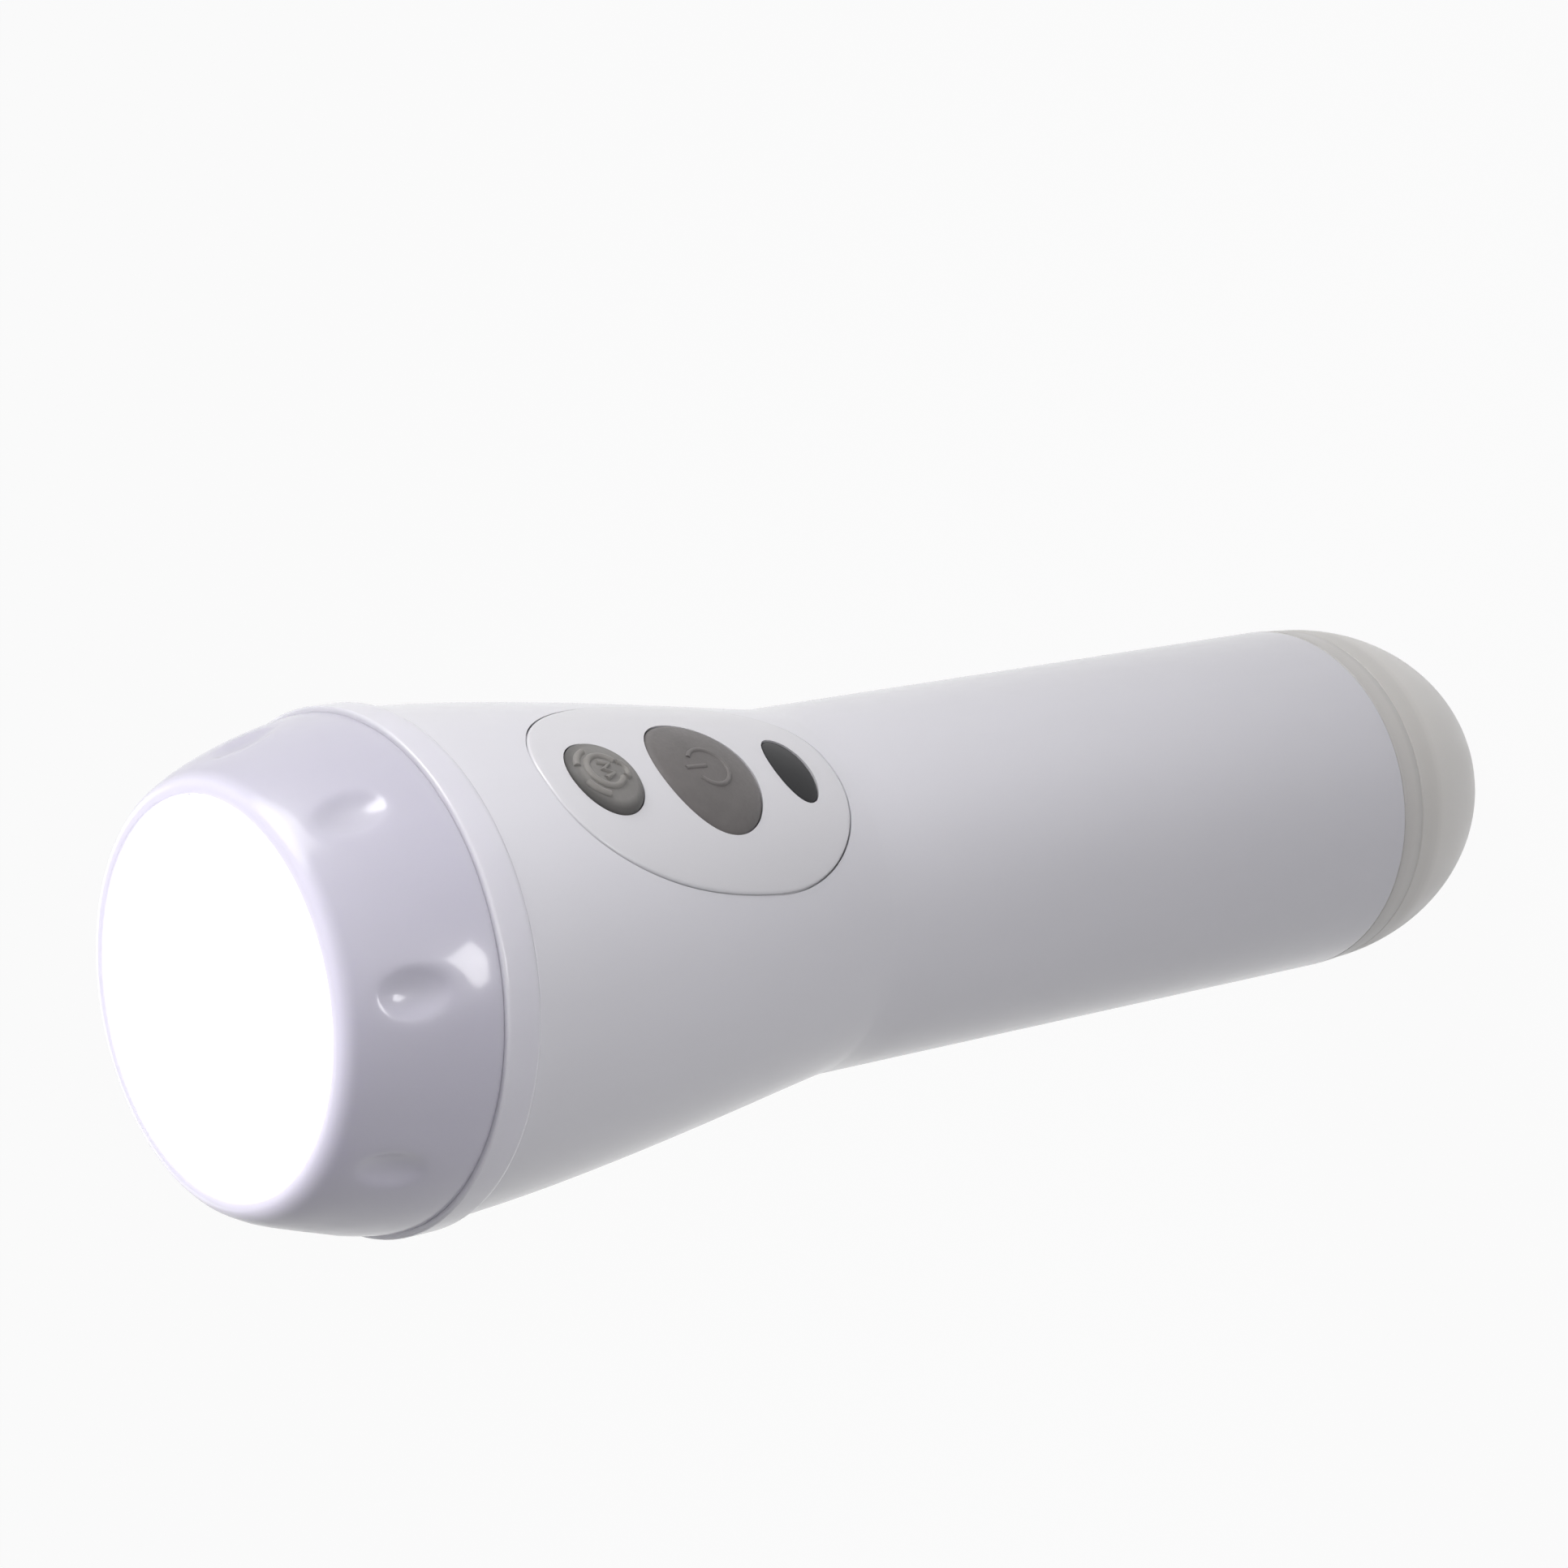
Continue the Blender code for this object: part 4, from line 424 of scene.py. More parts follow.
    def boolean(self, piece: Piece, tool: Piece, operation: str = "DIFFERENCE") -> None:
        """Cuts a piece with a tool or keeps what they share, and removes the tool.

        Args:
            piece: The piece that changes.
            tool: The other solid.
            operation: Name of the operation.
        """
        self.activate(piece)
        modifier = piece.modifiers.new("cut", "BOOLEAN")
        modifier.object = tool
        modifier.operation = operation
        modifier.solver = "EXACT"
        bpy.ops.object.modifier_apply(modifier=modifier.name)
        bpy.data.objects.remove(tool, do_unlink=True)

    def tube(self, name: str, routes: Sequence[Sequence[Vector]], radius: float) -> Piece:
        """Makes a round bead along one or more routes, as one mesh.

        Args:
            name: Name of the piece.
            routes: Points of each route.
            radius: Radius of the bead.

        Returns:
            The bead as a mesh.
        """
        self.clear()
        curve = bpy.data.curves.new(name, "CURVE")
        curve.dimensions = "3D"
        curve.bevel_depth = radius
        curve.bevel_resolution = 3
        curve.use_fill_caps = True
        for route in routes:
            spline = curve.splines.new("POLY")
            spline.points.add(len(route) - 1)
            for point, place in zip(spline.points, route):
                point.co = (*place, 1.0)
        guide = bpy.data.objects.new(name, curve)
        bpy.context.collection.objects.link(guide)
        self.activate(guide)
        bpy.ops.object.convert(target="MESH")
        bead = self.named(name)
        bpy.ops.object.mode_set(mode="EDIT")
        self.weld()
        self.close()
        return bead

    def place(self, piece: Piece, finish: "Shader", slot: str, nodes: Sequence[str],
              body: Rides = Rides.TORCH, sharp: float = 32.0) -> None:
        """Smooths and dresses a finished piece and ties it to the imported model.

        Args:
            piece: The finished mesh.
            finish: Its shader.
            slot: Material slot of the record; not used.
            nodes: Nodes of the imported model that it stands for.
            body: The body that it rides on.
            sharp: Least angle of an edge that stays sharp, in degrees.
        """
        self.activate(piece)
        bpy.ops.object.shade_smooth_by_angle(angle=math.radians(sharp))
        piece.data.materials.clear()
        piece.data.materials.append(finish.material)
        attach(piece, body.value)
        if nodes:
            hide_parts(*nodes)
        LOG.info("%s: %d faces on %s", piece.name, len(piece.data.polygons), body.value)


@dataclass(frozen=True)
class Grain:
    """A noise pattern, from its repeats per metre, its octaves and how it is stretched along the axes."""

    scale: float
    detail: float = 3.0
    stretch: Point = (1.0, 1.0, 1.0)


class Sheet:
    """A node tree under construction."""

    def __init__(self, tree: bpy.types.NodeTree) -> None:
        """Keeps the tree."""
        self.tree = tree

    def feed(self, socket: Socket, value: Value) -> None:
        """Links a socket to another, or gives it a fixed value.

        Args:
            socket: The socket.
            value: The other socket, or the value.
        """
        if isinstance(value, Socket):
            self.tree.links.new(value, socket)
        else:
            socket.default_value = (*value, 1.0) if socket.type == "RGBA" else value

    def node(self, kind: str, inputs: dict[str | int, Value], output: str | int = 0, **settings: str | bool) -> Socket:
        """Adds a node.

        Args:
            kind: Type of the node, without the words that all types start with.
            inputs: What its sockets get, by their names or numbers.
            output: The output that is wanted.
            settings: Its properties.

        Returns:
            That output.
        """
        made = self.tree.nodes.new("ShaderNode" + kind)
        for name, value in settings.items():
            setattr(made, name, value)
        for name, value in inputs.items():
            self.feed(made.inputs[name], value)
        return made.outputs[output]

    def maths(self, operation: str, first: Socket, second: Socket | float = 0.0, clamp: bool = False) -> Socket:
        """Adds an arithmetic node and returns its result."""
        return self.node("Math", {0: first, 1: second}, operation=operation, use_clamp=clamp)

    def seen(self, share: float) -> Socket:
        """A factor for what the camera sees directly, in gloss or through clear pieces.

        Args:
            share: The factor there.

        Returns:
            The factor, and 0 elsewhere.
        """
        rays = self.node("LightPath", {}).node.outputs
        direct = self.maths("ADD", rays["Is Camera Ray"], rays["Is Glossy Ray"])
        direct = self.maths("ADD", direct, rays["Is Transmission Ray"], clamp=True)
        return self.maths("MULTIPLY", direct, share)

    def show(self, lit: Socket, white: Socket, share: float, output: str) -> None:
        """Lights the object with one shader and shows the camera a white one.

        Args:
            lit: The shader that the object sees.
            white: The white shader.
            share: Share of white that the camera sees.
            output: Type of the tree's output.
        """
        mixed = self.node("MixShader", {0: self.seen(share), 1: lit, 2: white})
        self.feed(self.tree.nodes.new(output).inputs["Surface"], mixed)


class Shader(Sheet):
    """A node-based material under construction."""

    def __init__(self, name: str) -> None:
        """Starts the material.

        Args:
            name: Its name.
        """
        self.material = bpy.data.materials.new(name)
        self.material.use_nodes = True
        super().__init__(self.material.node_tree)
        self.surface = self.tree.nodes["Principled BSDF"].inputs
        self.coordinates = self.node("TexCoord", {}, "Object")

    def give(self, **values: Value) -> None:
        """Gives the surface values or patterns.

        Args:
            values: Names of its sockets, with underscores for spaces, and what they get.
        """
        for name, value in values.items():
            self.feed(self.surface[name.replace("_", " ")], value)

    def given(self, name: str) -> Socket:
        """The pattern that a socket of the surface has been given."""
        return self.surface[name].links[0].from_socket

    def noise(self, grain: Grain) -> Socket:
        """Adds a noise pattern, from 0 to 1."""
        vector = self.node("Mapping", {"Vector": self.coordinates, "Scale": grain.stretch})
        return self.node("TexNoise", {"Vector": vector, "Scale": grain.scale, "Detail": grain.detail}, "Fac")

    def cells(self, scale: float, **settings: str) -> Socket:
        """Adds a pattern of cells, so many per metre, and returns the distance within them."""
        return self.node("TexVoronoi", {"Vector": self.coordinates, "Scale": scale}, "Distance", **settings)

    def ramp(self, value: Socket, stops: Sequence[tuple[float, Colour]]) -> Socket:
        """Turns a value into a colour.

        Args:
            value: The value.
            stops: Places from 0 to 1, each with its colour.

        Returns:
            The colour.
        """
        made = self.node("ValToRGB", {"Fac": value}, "Color")
        elements = made.node.color_ramp.elements
        while len(elements) < len(stops):
            elements.new(0.5)
        for element, (position, colour) in zip(elements, stops):
            element.position = position
            element.color = (*colour, 1.0)
        return made

    def span(self, value: Socket, low: float, high: float, new_low: float = 0.0, new_high: float = 1.0) -> Socket:
        """Maps the range from low to high to a new one."""
        return self.node("MapRange", {"Value": value, "From Min": low, "From Max": high, "To Min": new_low,
                                      "To Max": new_high}, "Result")

    def along(self, axis: str) -> Socket:
        """Place along one of the object's axes."""
        return self.node("SeparateXYZ", {"Vector": self.coordinates}, axis)

    def length(self, first: Socket, second: Socket) -> Socket:
        """Length of the line to a point that lies so far along two axes."""
        squares = [self.maths("POWER", self.maths("ABSOLUTE", value), 2.0) for value in (first, second)]
        return self.maths("SQRT", self.maths("ADD", *squares))

    def from_axis(self) -> Socket:
        """Distance from the torch's axis."""
        return self.length(self.along("X"), self.along("Y"))

    def bump(self, height: Socket, distance: float, strength: float) -> None:
        """Adds relief of some height, of which a share shows."""
        self.give(Normal=self.node("Bump", {"Height": height, "Distance": distance, "Strength": strength}, "Normal"))

    def mottle(self, pattern: Socket, low: Colour, high: Colour) -> None:
        """Paints the low and high places of a noise pattern in two colours."""
        self.give(Base_Color=self.ramp(pattern, [(NOISE_LOW, low), (NOISE_HIGH, high)]))

    def mix(self, kind: str, factor: Value, first: Value, second: Value) -> None:
        """Takes the base colour from a mix of two."""
        self.give(Base_Color=self.node("Mix", {0: factor, 6: first, 7: second}, 2, data_type="RGBA", blend_type=kind))

    def polish(self, pattern: Socket, low: float, high: float) -> None:
        """Gives the low and high places of a noise pattern two roughnesses."""
        self.give(Roughness=self.span(pattern, NOISE_LOW, NOISE_HIGH, low, high))


@dataclass(frozen=True)
class GlossPlastic:
    """Smooth moulded plastic with a faint flow pattern and a hint of moulding texture."""

    name: str
    colour: Colour
    roughness: float = 0.22
    variation: float = 0.03
    relief: float = 0.004 * MM
    subsurface: float = 0.0
    depth: float = 2.0 * MM
    coat: float = 0.0
    coat_roughness: float = 0.08
    flow: Grain = Grain(38.0, 4.0, (1.0, 1.0, 0.35))
    wear: Grain = Grain(210.0, 4.0)
    texture: Grain = Grain(900.0, 2.0)
    gloss: Pair = (0.85, 1.2)
    strength: float = 0.5

    def build(self) -> Shader:
        """Makes the material.

        Returns:
            The shader, for further detail.
        """
        made = Shader(self.name)
        made.give(Metallic=0.0, IOR=1.5, Coat_Weight=self.coat, Coat_Roughness=self.coat_roughness)
        made.mottle(made.noise(self.flow), shade(self.colour, 1.0 - self.variation),
                    shade(self.colour, 1.0 + self.variation))
        made.polish(made.noise(self.wear), *[self.roughness * share for share in self.gloss])
        made.bump(made.noise(self.texture), self.relief, self.strength)
        if self.subsurface > 0.0:
            made.give(Subsurface_Weight=self.subsurface, Subsurface_Scale=self.depth,
                      Subsurface_Radius=(1.0, 0.95, 1.0))
        return made


@dataclass(frozen=True)
class SoftRubber:
    """Silicone rubber with a fine grain and a dusty sheen."""

    name: str
    colour: Colour
    roughness: float = 0.55
    blotch: Grain = Grain(260.0, 4.0)
    grain: Grain = Grain(2600.0)
    gloss: Pair = (0.9, 1.15)
    relief: float = 0.02 * MM
    blotch_range: Pair = (0.25, 0.75)
    shades: Pair = (0.88, 1.14)
    strength: float = 0.6

    def build(self) -> Shader:
        """Makes the material.

        Returns:
            The shader, for further detail.
        """
        made = Shader(self.name)
        made.give(Metallic=0.0, IOR=1.45, Sheen_Weight=0.15, Sheen_Roughness=0.5)
        stops = [(stop, shade(self.colour, factor)) for stop, factor in zip(self.blotch_range, self.shades)]
        made.give(Base_Color=made.ramp(made.noise(self.blotch), stops))
        grain = made.noise(self.grain)
        made.polish(grain, *[self.roughness * share for share in self.gloss])
        made.bump(grain, self.relief, self.strength)
        return made


@dataclass(frozen=True)
class WorkedMetal:
    """Bare metal with drawing or turning marks."""

    name: str
    colour: Colour
    roughness: float = 0.3
    marks: Grain = Grain(1800.0, 4.0, (1.0, 1.0, 0.06))
    gloss: Pair = (0.8, 1.3)
    shades: Pair = (0.85, 1.1)
    relief: float = 0.006 * MM
    strength: float = 0.5

    def build(self) -> Shader:
        """Makes the material.

        Returns:
            The shader, for further detail.
        """
        made = Shader(self.name)
        made.give(Metallic=1.0)
        lines = made.noise(self.marks)
        made.mottle(lines, *[shade(self.colour, factor) for factor in self.shades])
        made.polish(lines, *[self.roughness * share for share in self.gloss])
        made.bump(lines, self.relief, self.strength)
        return made


@dataclass(frozen=True)
class Grained:
    """A finish whose colour, roughness and relief all follow one fine grain."""

    name: str
    low: Colour
    high: Colour
    roughness: Pair
    grain: Grain
    relief: float = 0.02 * MM
    strength: float = 0.5
    surface: tuple[tuple[str, float], ...] = ()

    def build(self) -> Shader:
        """Makes the material.

        Returns:
            The shader, for further detail.
        """
        made = Shader(self.name)
        made.give(**dict(self.surface))
        grain = made.noise(self.grain)
        made.mottle(grain, self.low, self.high)
        made.polish(grain, *self.roughness)
        if self.relief > 0.0:
            made.bump(grain, self.relief, self.strength)
        return made


@dataclass(frozen=True)
class CircuitBoard:
    """Lacquered board with copper tracks under the lacquer and small bare pads."""

    name: str
    lacquer: Colour = (0.02, 0.17, 0.07)
    track: Colour = (0.05, 0.30, 0.13)
    pad: Colour = (0.80, 0.72, 0.52)
    wear: Grain = Grain(500.0)
    roughness: Pair = (0.3, 0.45)
    track_scale: float = 320.0
    track_edge: Pair = (0.05, 0.09)
    pad_scale: float = 260.0
    pad_edge: Pair = (0.11, 0.14)
    relief: float = 0.03 * MM
    strength: float = 0.5

    def build(self) -> Shader:
        """Makes the material.

        Returns:
            The shader, for further detail.
        """
        made = Shader(self.name)
        made.give(Metallic=0.0, IOR=1.5, Coat_Weight=0.6, Coat_Roughness=0.15)
        edges = made.cells(self.track_scale, feature="DISTANCE_TO_EDGE", distance="MANHATTAN")
        tracks = made.ramp(edges, list(zip(self.track_edge, (self.track, self.lacquer))))
        pads = made.ramp(made.cells(self.pad_scale, feature="F1"), list(zip(self.pad_edge, (WHITE, BLACK))))
        made.mix("MIX", pads, tracks, self.pad)
        made.polish(made.noise(self.wear), *self.roughness)
        made.bump(tracks, self.relief, self.strength)
        return made


@dataclass(frozen=True)
class Finishes:
    """The finishes of the torch."""

    body: GlossPlastic = GlossPlastic("body_plastic", (0.76, 0.755, 0.795), roughness=0.2, variation=0.02,
                                      subsurface=0.12, depth=1.5 * MM, coat=0.25)
    # The panel is a slightly darker copy of the body's white plastic: painted shade
    panel: GlossPlastic = GlossPlastic("panel_plastic", (0.735, 0.73, 0.755), roughness=0.17, variation=0.02,
                                       subsurface=0.1, depth=1.0 * MM, coat=0.25)
    milky: GlossPlastic = GlossPlastic("milky_plastic", (0.59, 0.575, 0.665), roughness=0.34, subsurface=0.5,
                                       depth=2.5 * MM, coat=0.6, coat_roughness=0.1)
    collar: GlossPlastic = GlossPlastic("collar_plastic", (0.76, 0.75, 0.81), subsurface=0.5, coat=0.4,
                                        coat_roughness=0.12)
    # Dome and ring are one frosted plastic; the dome's lighter colour is partly its own pale tone and partly painted
    # light from the glow through it
    frosted: GlossPlastic = GlossPlastic("frosted_dome", (0.93, 0.905, 0.855), roughness=0.34, subsurface=0.3)
    tail_ring: GlossPlastic = GlossPlastic("frosted_ring", (0.78, 0.76, 0.725), roughness=0.34, subsurface=0.4)
    mode_key: SoftRubber = SoftRubber("mode_key_rubber", (0.215, 0.208, 0.198))
    power_key: SoftRubber = SoftRubber("power_key_rubber", (0.135, 0.126, 0.122))
    # The marks are their keys' rubber made lighter: painted highlight on the raised strokes
    mode_mark: SoftRubber = SoftRubber("mode_mark_rubber", (0.25, 0.24, 0.225), roughness=0.6)
    power_mark: SoftRubber = SoftRubber("power_mark_rubber", (0.165, 0.155, 0.15), roughness=0.6)
    window: GlossPlastic = GlossPlastic("smoked_window", (0.012, 0.012, 0.014), roughness=0.16, variation=0.1)
    seal: SoftRubber = SoftRubber("seal_rubber", (0.03, 0.03, 0.03), roughness=0.6)
    steel: WorkedMetal = WorkedMetal("spring_steel", (0.60, 0.60, 0.61), roughness=0.25)
    aluminium: WorkedMetal = WorkedMetal("turned_aluminium", (0.70, 0.71, 0.72), roughness=0.35,
                                         marks=Grain(300.0, 4.0, (1.0, 1.0, 8.0)))
    board: CircuitBoard = CircuitBoard("circuit_board")
    inner: GlossPlastic = GlossPlastic("inner_plastic", (0.50, 0.50, 0.51), roughness=0.45, variation=0.05,
                                       relief=0.01 * MM)
    black: GlossPlastic = GlossPlastic("black_plastic", (0.03, 0.03, 0.032), roughness=0.42, variation=0.1,
                                       relief=0.012 * MM)
    mirror: Grained = Grained("reflector_coating", (0.83, 0.83, 0.84), (0.90, 0.90, 0.91), roughness=(0.05, 0.12),
                              grain=Grain(520.0, 2.0), surface=(("Metallic", 1.0),))
    phosphor: Grained = Grained("led_phosphor", (0.80, 0.62, 0.12), (0.90, 0.76, 0.26), roughness=(0.25, 0.4),
                                grain=Grain(4000.0), relief=0.0,
                                surface=(("IOR", 1.5), ("Coat_Weight", 0.8), ("Coat_Roughness", 0.05),
                                         ("Subsurface_Weight", 0.3), ("Subsurface_Scale", 0.5 * MM)))
    ferrite: Grained = Grained("pressed_ferrite", (0.035, 0.035, 0.037), (0.075, 0.075, 0.08), roughness=(0.55, 0.8),
                               grain=Grain(2200.0, 5.0), strength=0.7, surface=(("Metallic", 0.2),))
    red_wire: Grained = Grained("red_wire", (0.425, 0.0255, 0.017), (0.575, 0.0345, 0.023), roughness=(0.35, 0.5),
                                grain=Grain(1500.0), strength=0.4, surface=(("IOR", 1.48),))
    black_wire: Grained = Grained("black_wire", (0.0255, 0.0255, 0.0255), (0.0345, 0.0345, 0.0345),
                                  roughness=(0.35, 0.5), grain=Grain(1500.0), strength=0.4,
                                  surface=(("IOR", 1.48),))


@dataclass
class Section:
    """A length of the torch, with what is needed to build it."""

    plan: TorchPlan
    bench: Bench
    finishes: Finishes


@dataclass
class Head(Section):
    """The lens, the dimpled milky shell and the collar ring."""

    steps: int = 384
    rows: int = 66
    inner_rows: int = 12
    wall: float = 1.9 * MM
    bore: float = 21.6 * MM
    ledge_bore: float = 20.2 * MM
    ledge_top: float = 186.6 * MM
    ledge_bottom: float = 185.6 * MM
    spigot_bore: float = 23.8 * MM
    spigot_bottom: float = 159.75 * MM
    rim_inset: float = 0.05 * MM
    rim_depth: float = 0.9 * MM
    rim_rounding: float = 0.55 * MM
    foot_height: float = 0.2 * MM
    foot_rounding: float = 0.06 * MM
    seat_rounding: float = 0.1 * MM
    inner_rounding: float = 0.3 * MM
    dimple_count: int = 8
    dimple_height: float = 182.7 * MM
    dimple_depth: float = 0.9 * MM
    dimple_across: float = 3.8 * MM
    dimple_along: float = 5.9 * MM
    dimple_turn: float = math.radians(2.6)
    dimple_ball: float = 3.0 * MM
    dimple_edge: float = 0.3 * MM
    dimple_margin: float = 0.3 * MM
    glow_depth: float = 1.8 * MM
    glow_strength: float = 0.4
    glow_colour: Colour = (0.93, 0.90, 1.0)
    dull_depth: float = 4.5 * MM
    dull_margin: float = 1.0 * MM
    dulling: float = 0.15
    band_steps: int = 256
    collar_front: float = 0.4 * MM
    collar_back: float = 0.9 * MM
    collar_inner: float = 0.15 * MM
    collar_steps: int = 8
    lens_radius: float = 21.5 * MM
    lens_top: float = 189.6 * MM
    lens_bottom: float = 188.0 * MM
    lens_front: float = 0.35 * MM
    lens_back: float = 0.15 * MM
    lens_border: float = 1.2 * MM
    lens_colour: Colour = (0.95, 0.95, 0.97)
    border_colour: Colour = (0.88, 0.86, 1.0)
    lens_glow: float = 1.6
    lens_ripple: Grain = Grain(420.0, 2.0)
    lens_relief: float = 0.01 * MM
    lens_strength: float = 0.4
    lens_roughness: Pair = (0.12, 0.22)

    def build(self) -> None:
        """Makes the head's pieces."""
        self.make_shell()
        self.make_collar()
        self.make_lens()

    def make_shell(self) -> None:
        """Turns the shell and presses its dimples."""
        plan = self.plan
        outer = traced(plan.head_at, plan.head_top - self.rim_depth, plan.head_bottom + self.foot_height, self.rows)
        rim = rounded([Corner(self.bore, self.ledge_top), Corner(self.bore, plan.head_top, self.inner_rounding),
                       Corner(plan.rim_radius - self.rim_inset, plan.head_top, self.rim_rounding),
                       Corner(*outer[0])], False)
        foot = rounded([Corner(*outer[-1]), Corner(plan.head_radius, plan.head_bottom, self.foot_rounding),
                        Corner(plan.spigot_radius, plan.head_bottom, self.seat_rounding),
                        Corner(plan.spigot_radius, self.spigot_bottom, self.inner_rounding),
                        Corner(self.spigot_bore, self.spigot_bottom, self.inner_rounding),
                        Corner(self.spigot_bore, plan.head_bottom)], False)
        inner = traced(plan.head_at, plan.head_bottom + self.wall, self.ledge_bottom, self.inner_rows, self.wall)
        seat = [Vector((self.ledge_bore, self.ledge_bottom)), Vector((self.ledge_bore, self.ledge_top))]
        profile = rim[1:-1] + outer + foot[1:] + inner + seat + [rim[0]]
        shell = self.bench.lathe("head_barrel", profile, self.steps, True)
        self.press_dimples(shell)
        finish = self.finishes.milky.build()
        self.leak_light(finish)
        self.bench.place(shell, finish, "milky_plastic", ["head_shell"])

    def press_dimples(self, shell: Piece) -> None:
        """Presses the row of oval dimples into the barrel.

        Args:
            shell: The turned shell.
        """
        plan = self.plan
        ball = self.dimple_ball
        fall = plan.head_at(self.dimple_height - ball) - plan.head_at(self.dimple_height + ball)
        lean = math.atan2(fall, 2.0 * ball)
        along = Vector((-math.sin(lean), math.cos(lean)))
        out = Vector((math.cos(lean), math.sin(lean)))
        centre = Vector((plan.head_at(self.dimple_height), self.dimple_height))
        rest = ball - self.dimple_depth
        floor = bent(-rest, self.dimple_edge)
        step = 2.0 * math.pi / self.dimple_count
        low = plan.head_bottom + self.dimple_margin
        for vertex in shell.data.vertices:
            radius = math.hypot(vertex.co.x, vertex.co.y)
            if vertex.co.z < low or radius < plan.head_at(vertex.co.z) - self.dimple_margin:
                continue
            angle = math.atan2(vertex.co.y, vertex.co.x) + math.pi / 2.0
            turn = (angle - self.dimple_turn + step / 2.0) % step - step / 2.0
            across = math.sin(turn) * radius
            flat = Vector((math.cos(turn) * radius, vertex.co.z)) - centre
            up = flat.dot(along)
            inside = 1.0 - (across / self.dimple_across) ** 2 - (up / self.dimple_along) ** 2
            base = ball * math.sqrt(max(inside, 0.0)) - rest + flat.dot(out)
            depth = bent(base, self.dimple_edge) - floor
            if depth <= 0.0:
                continue
            radial = Vector((vertex.co.x, vertex.co.y, 0.0)) / radius
            vertex.co -= (radial * out.x + Vector((0.0, 0.0, out.y))) * depth

    def leak_light(self, finish: Shader) -> None:
        """Lets the lamp's light glow through the rim beside the lens, where the shell is dulled by handling.

        Args:
            finish: The shell's shader.
        """
        top = self.plan.head_top
        height = finish.along("Z")
        glow = finish.maths("POWER", finish.span(height, top - self.glow_depth, top), 2.0)
        dull = finish.span(height, top - self.dull_depth, top - self.dull_margin, 0.0, self.dulling)
        finish.give(Emission_Color=self.glow_colour, Roughness=finish.maths("ADD", finish.given("Roughness"), dull),
                    Emission_Strength=finish.maths("MULTIPLY", glow, self.glow_strength))

    def make_collar(self) -> None:
        """Turns the thin proud ring between head and body."""
        plan = self.plan
        bore = plan.spigot_radius + plan.seam
        profile = rounded([Corner(bore, plan.collar_top, self.collar_inner),
                           Corner(plan.collar_radius, plan.collar_top, self.collar_front),
                           Corner(plan.collar_radius, plan.collar_bottom, self.collar_back),
                           Corner(bore, plan.collar_bottom, self.collar_inner)], True, self.collar_steps)
        collar = self.bench.lathe("collar_band", profile, self.band_steps, True)
        self.bench.place(collar, self.finishes.collar.build(), "milky_plastic", ["collar_ring"])

    def make_lens(self) -> None:
        """Turns the diffusing lens, which is lit."""
        profile = rounded([Corner(0.0, self.lens_top), Corner(self.lens_radius, self.lens_top, self.lens_front),
                           Corner(self.lens_radius, self.lens_bottom, self.lens_back),
                           Corner(0.0, self.lens_bottom)], False)
        lens = self.bench.lathe("lens_disc", profile, self.band_steps)
        finish = Shader("lit_lens")
        edge = finish.span(finish.from_axis(), self.lens_radius - self.lens_border, self.lens_radius)
        finish.give(Base_Color=self.lens_colour, IOR=1.49, Emission_Strength=self.lens_glow,
                    Emission_Color=finish.ramp(edge, [(0.0, WHITE), (1.0, self.border_colour)]))
        ripple = finish.noise(self.lens_ripple)
        finish.polish(ripple, *self.lens_roughness)
        finish.bump(ripple, self.lens_relief, self.lens_strength)
        self.bench.place(lens, finish, "lens_plastic", ["front_lens"])


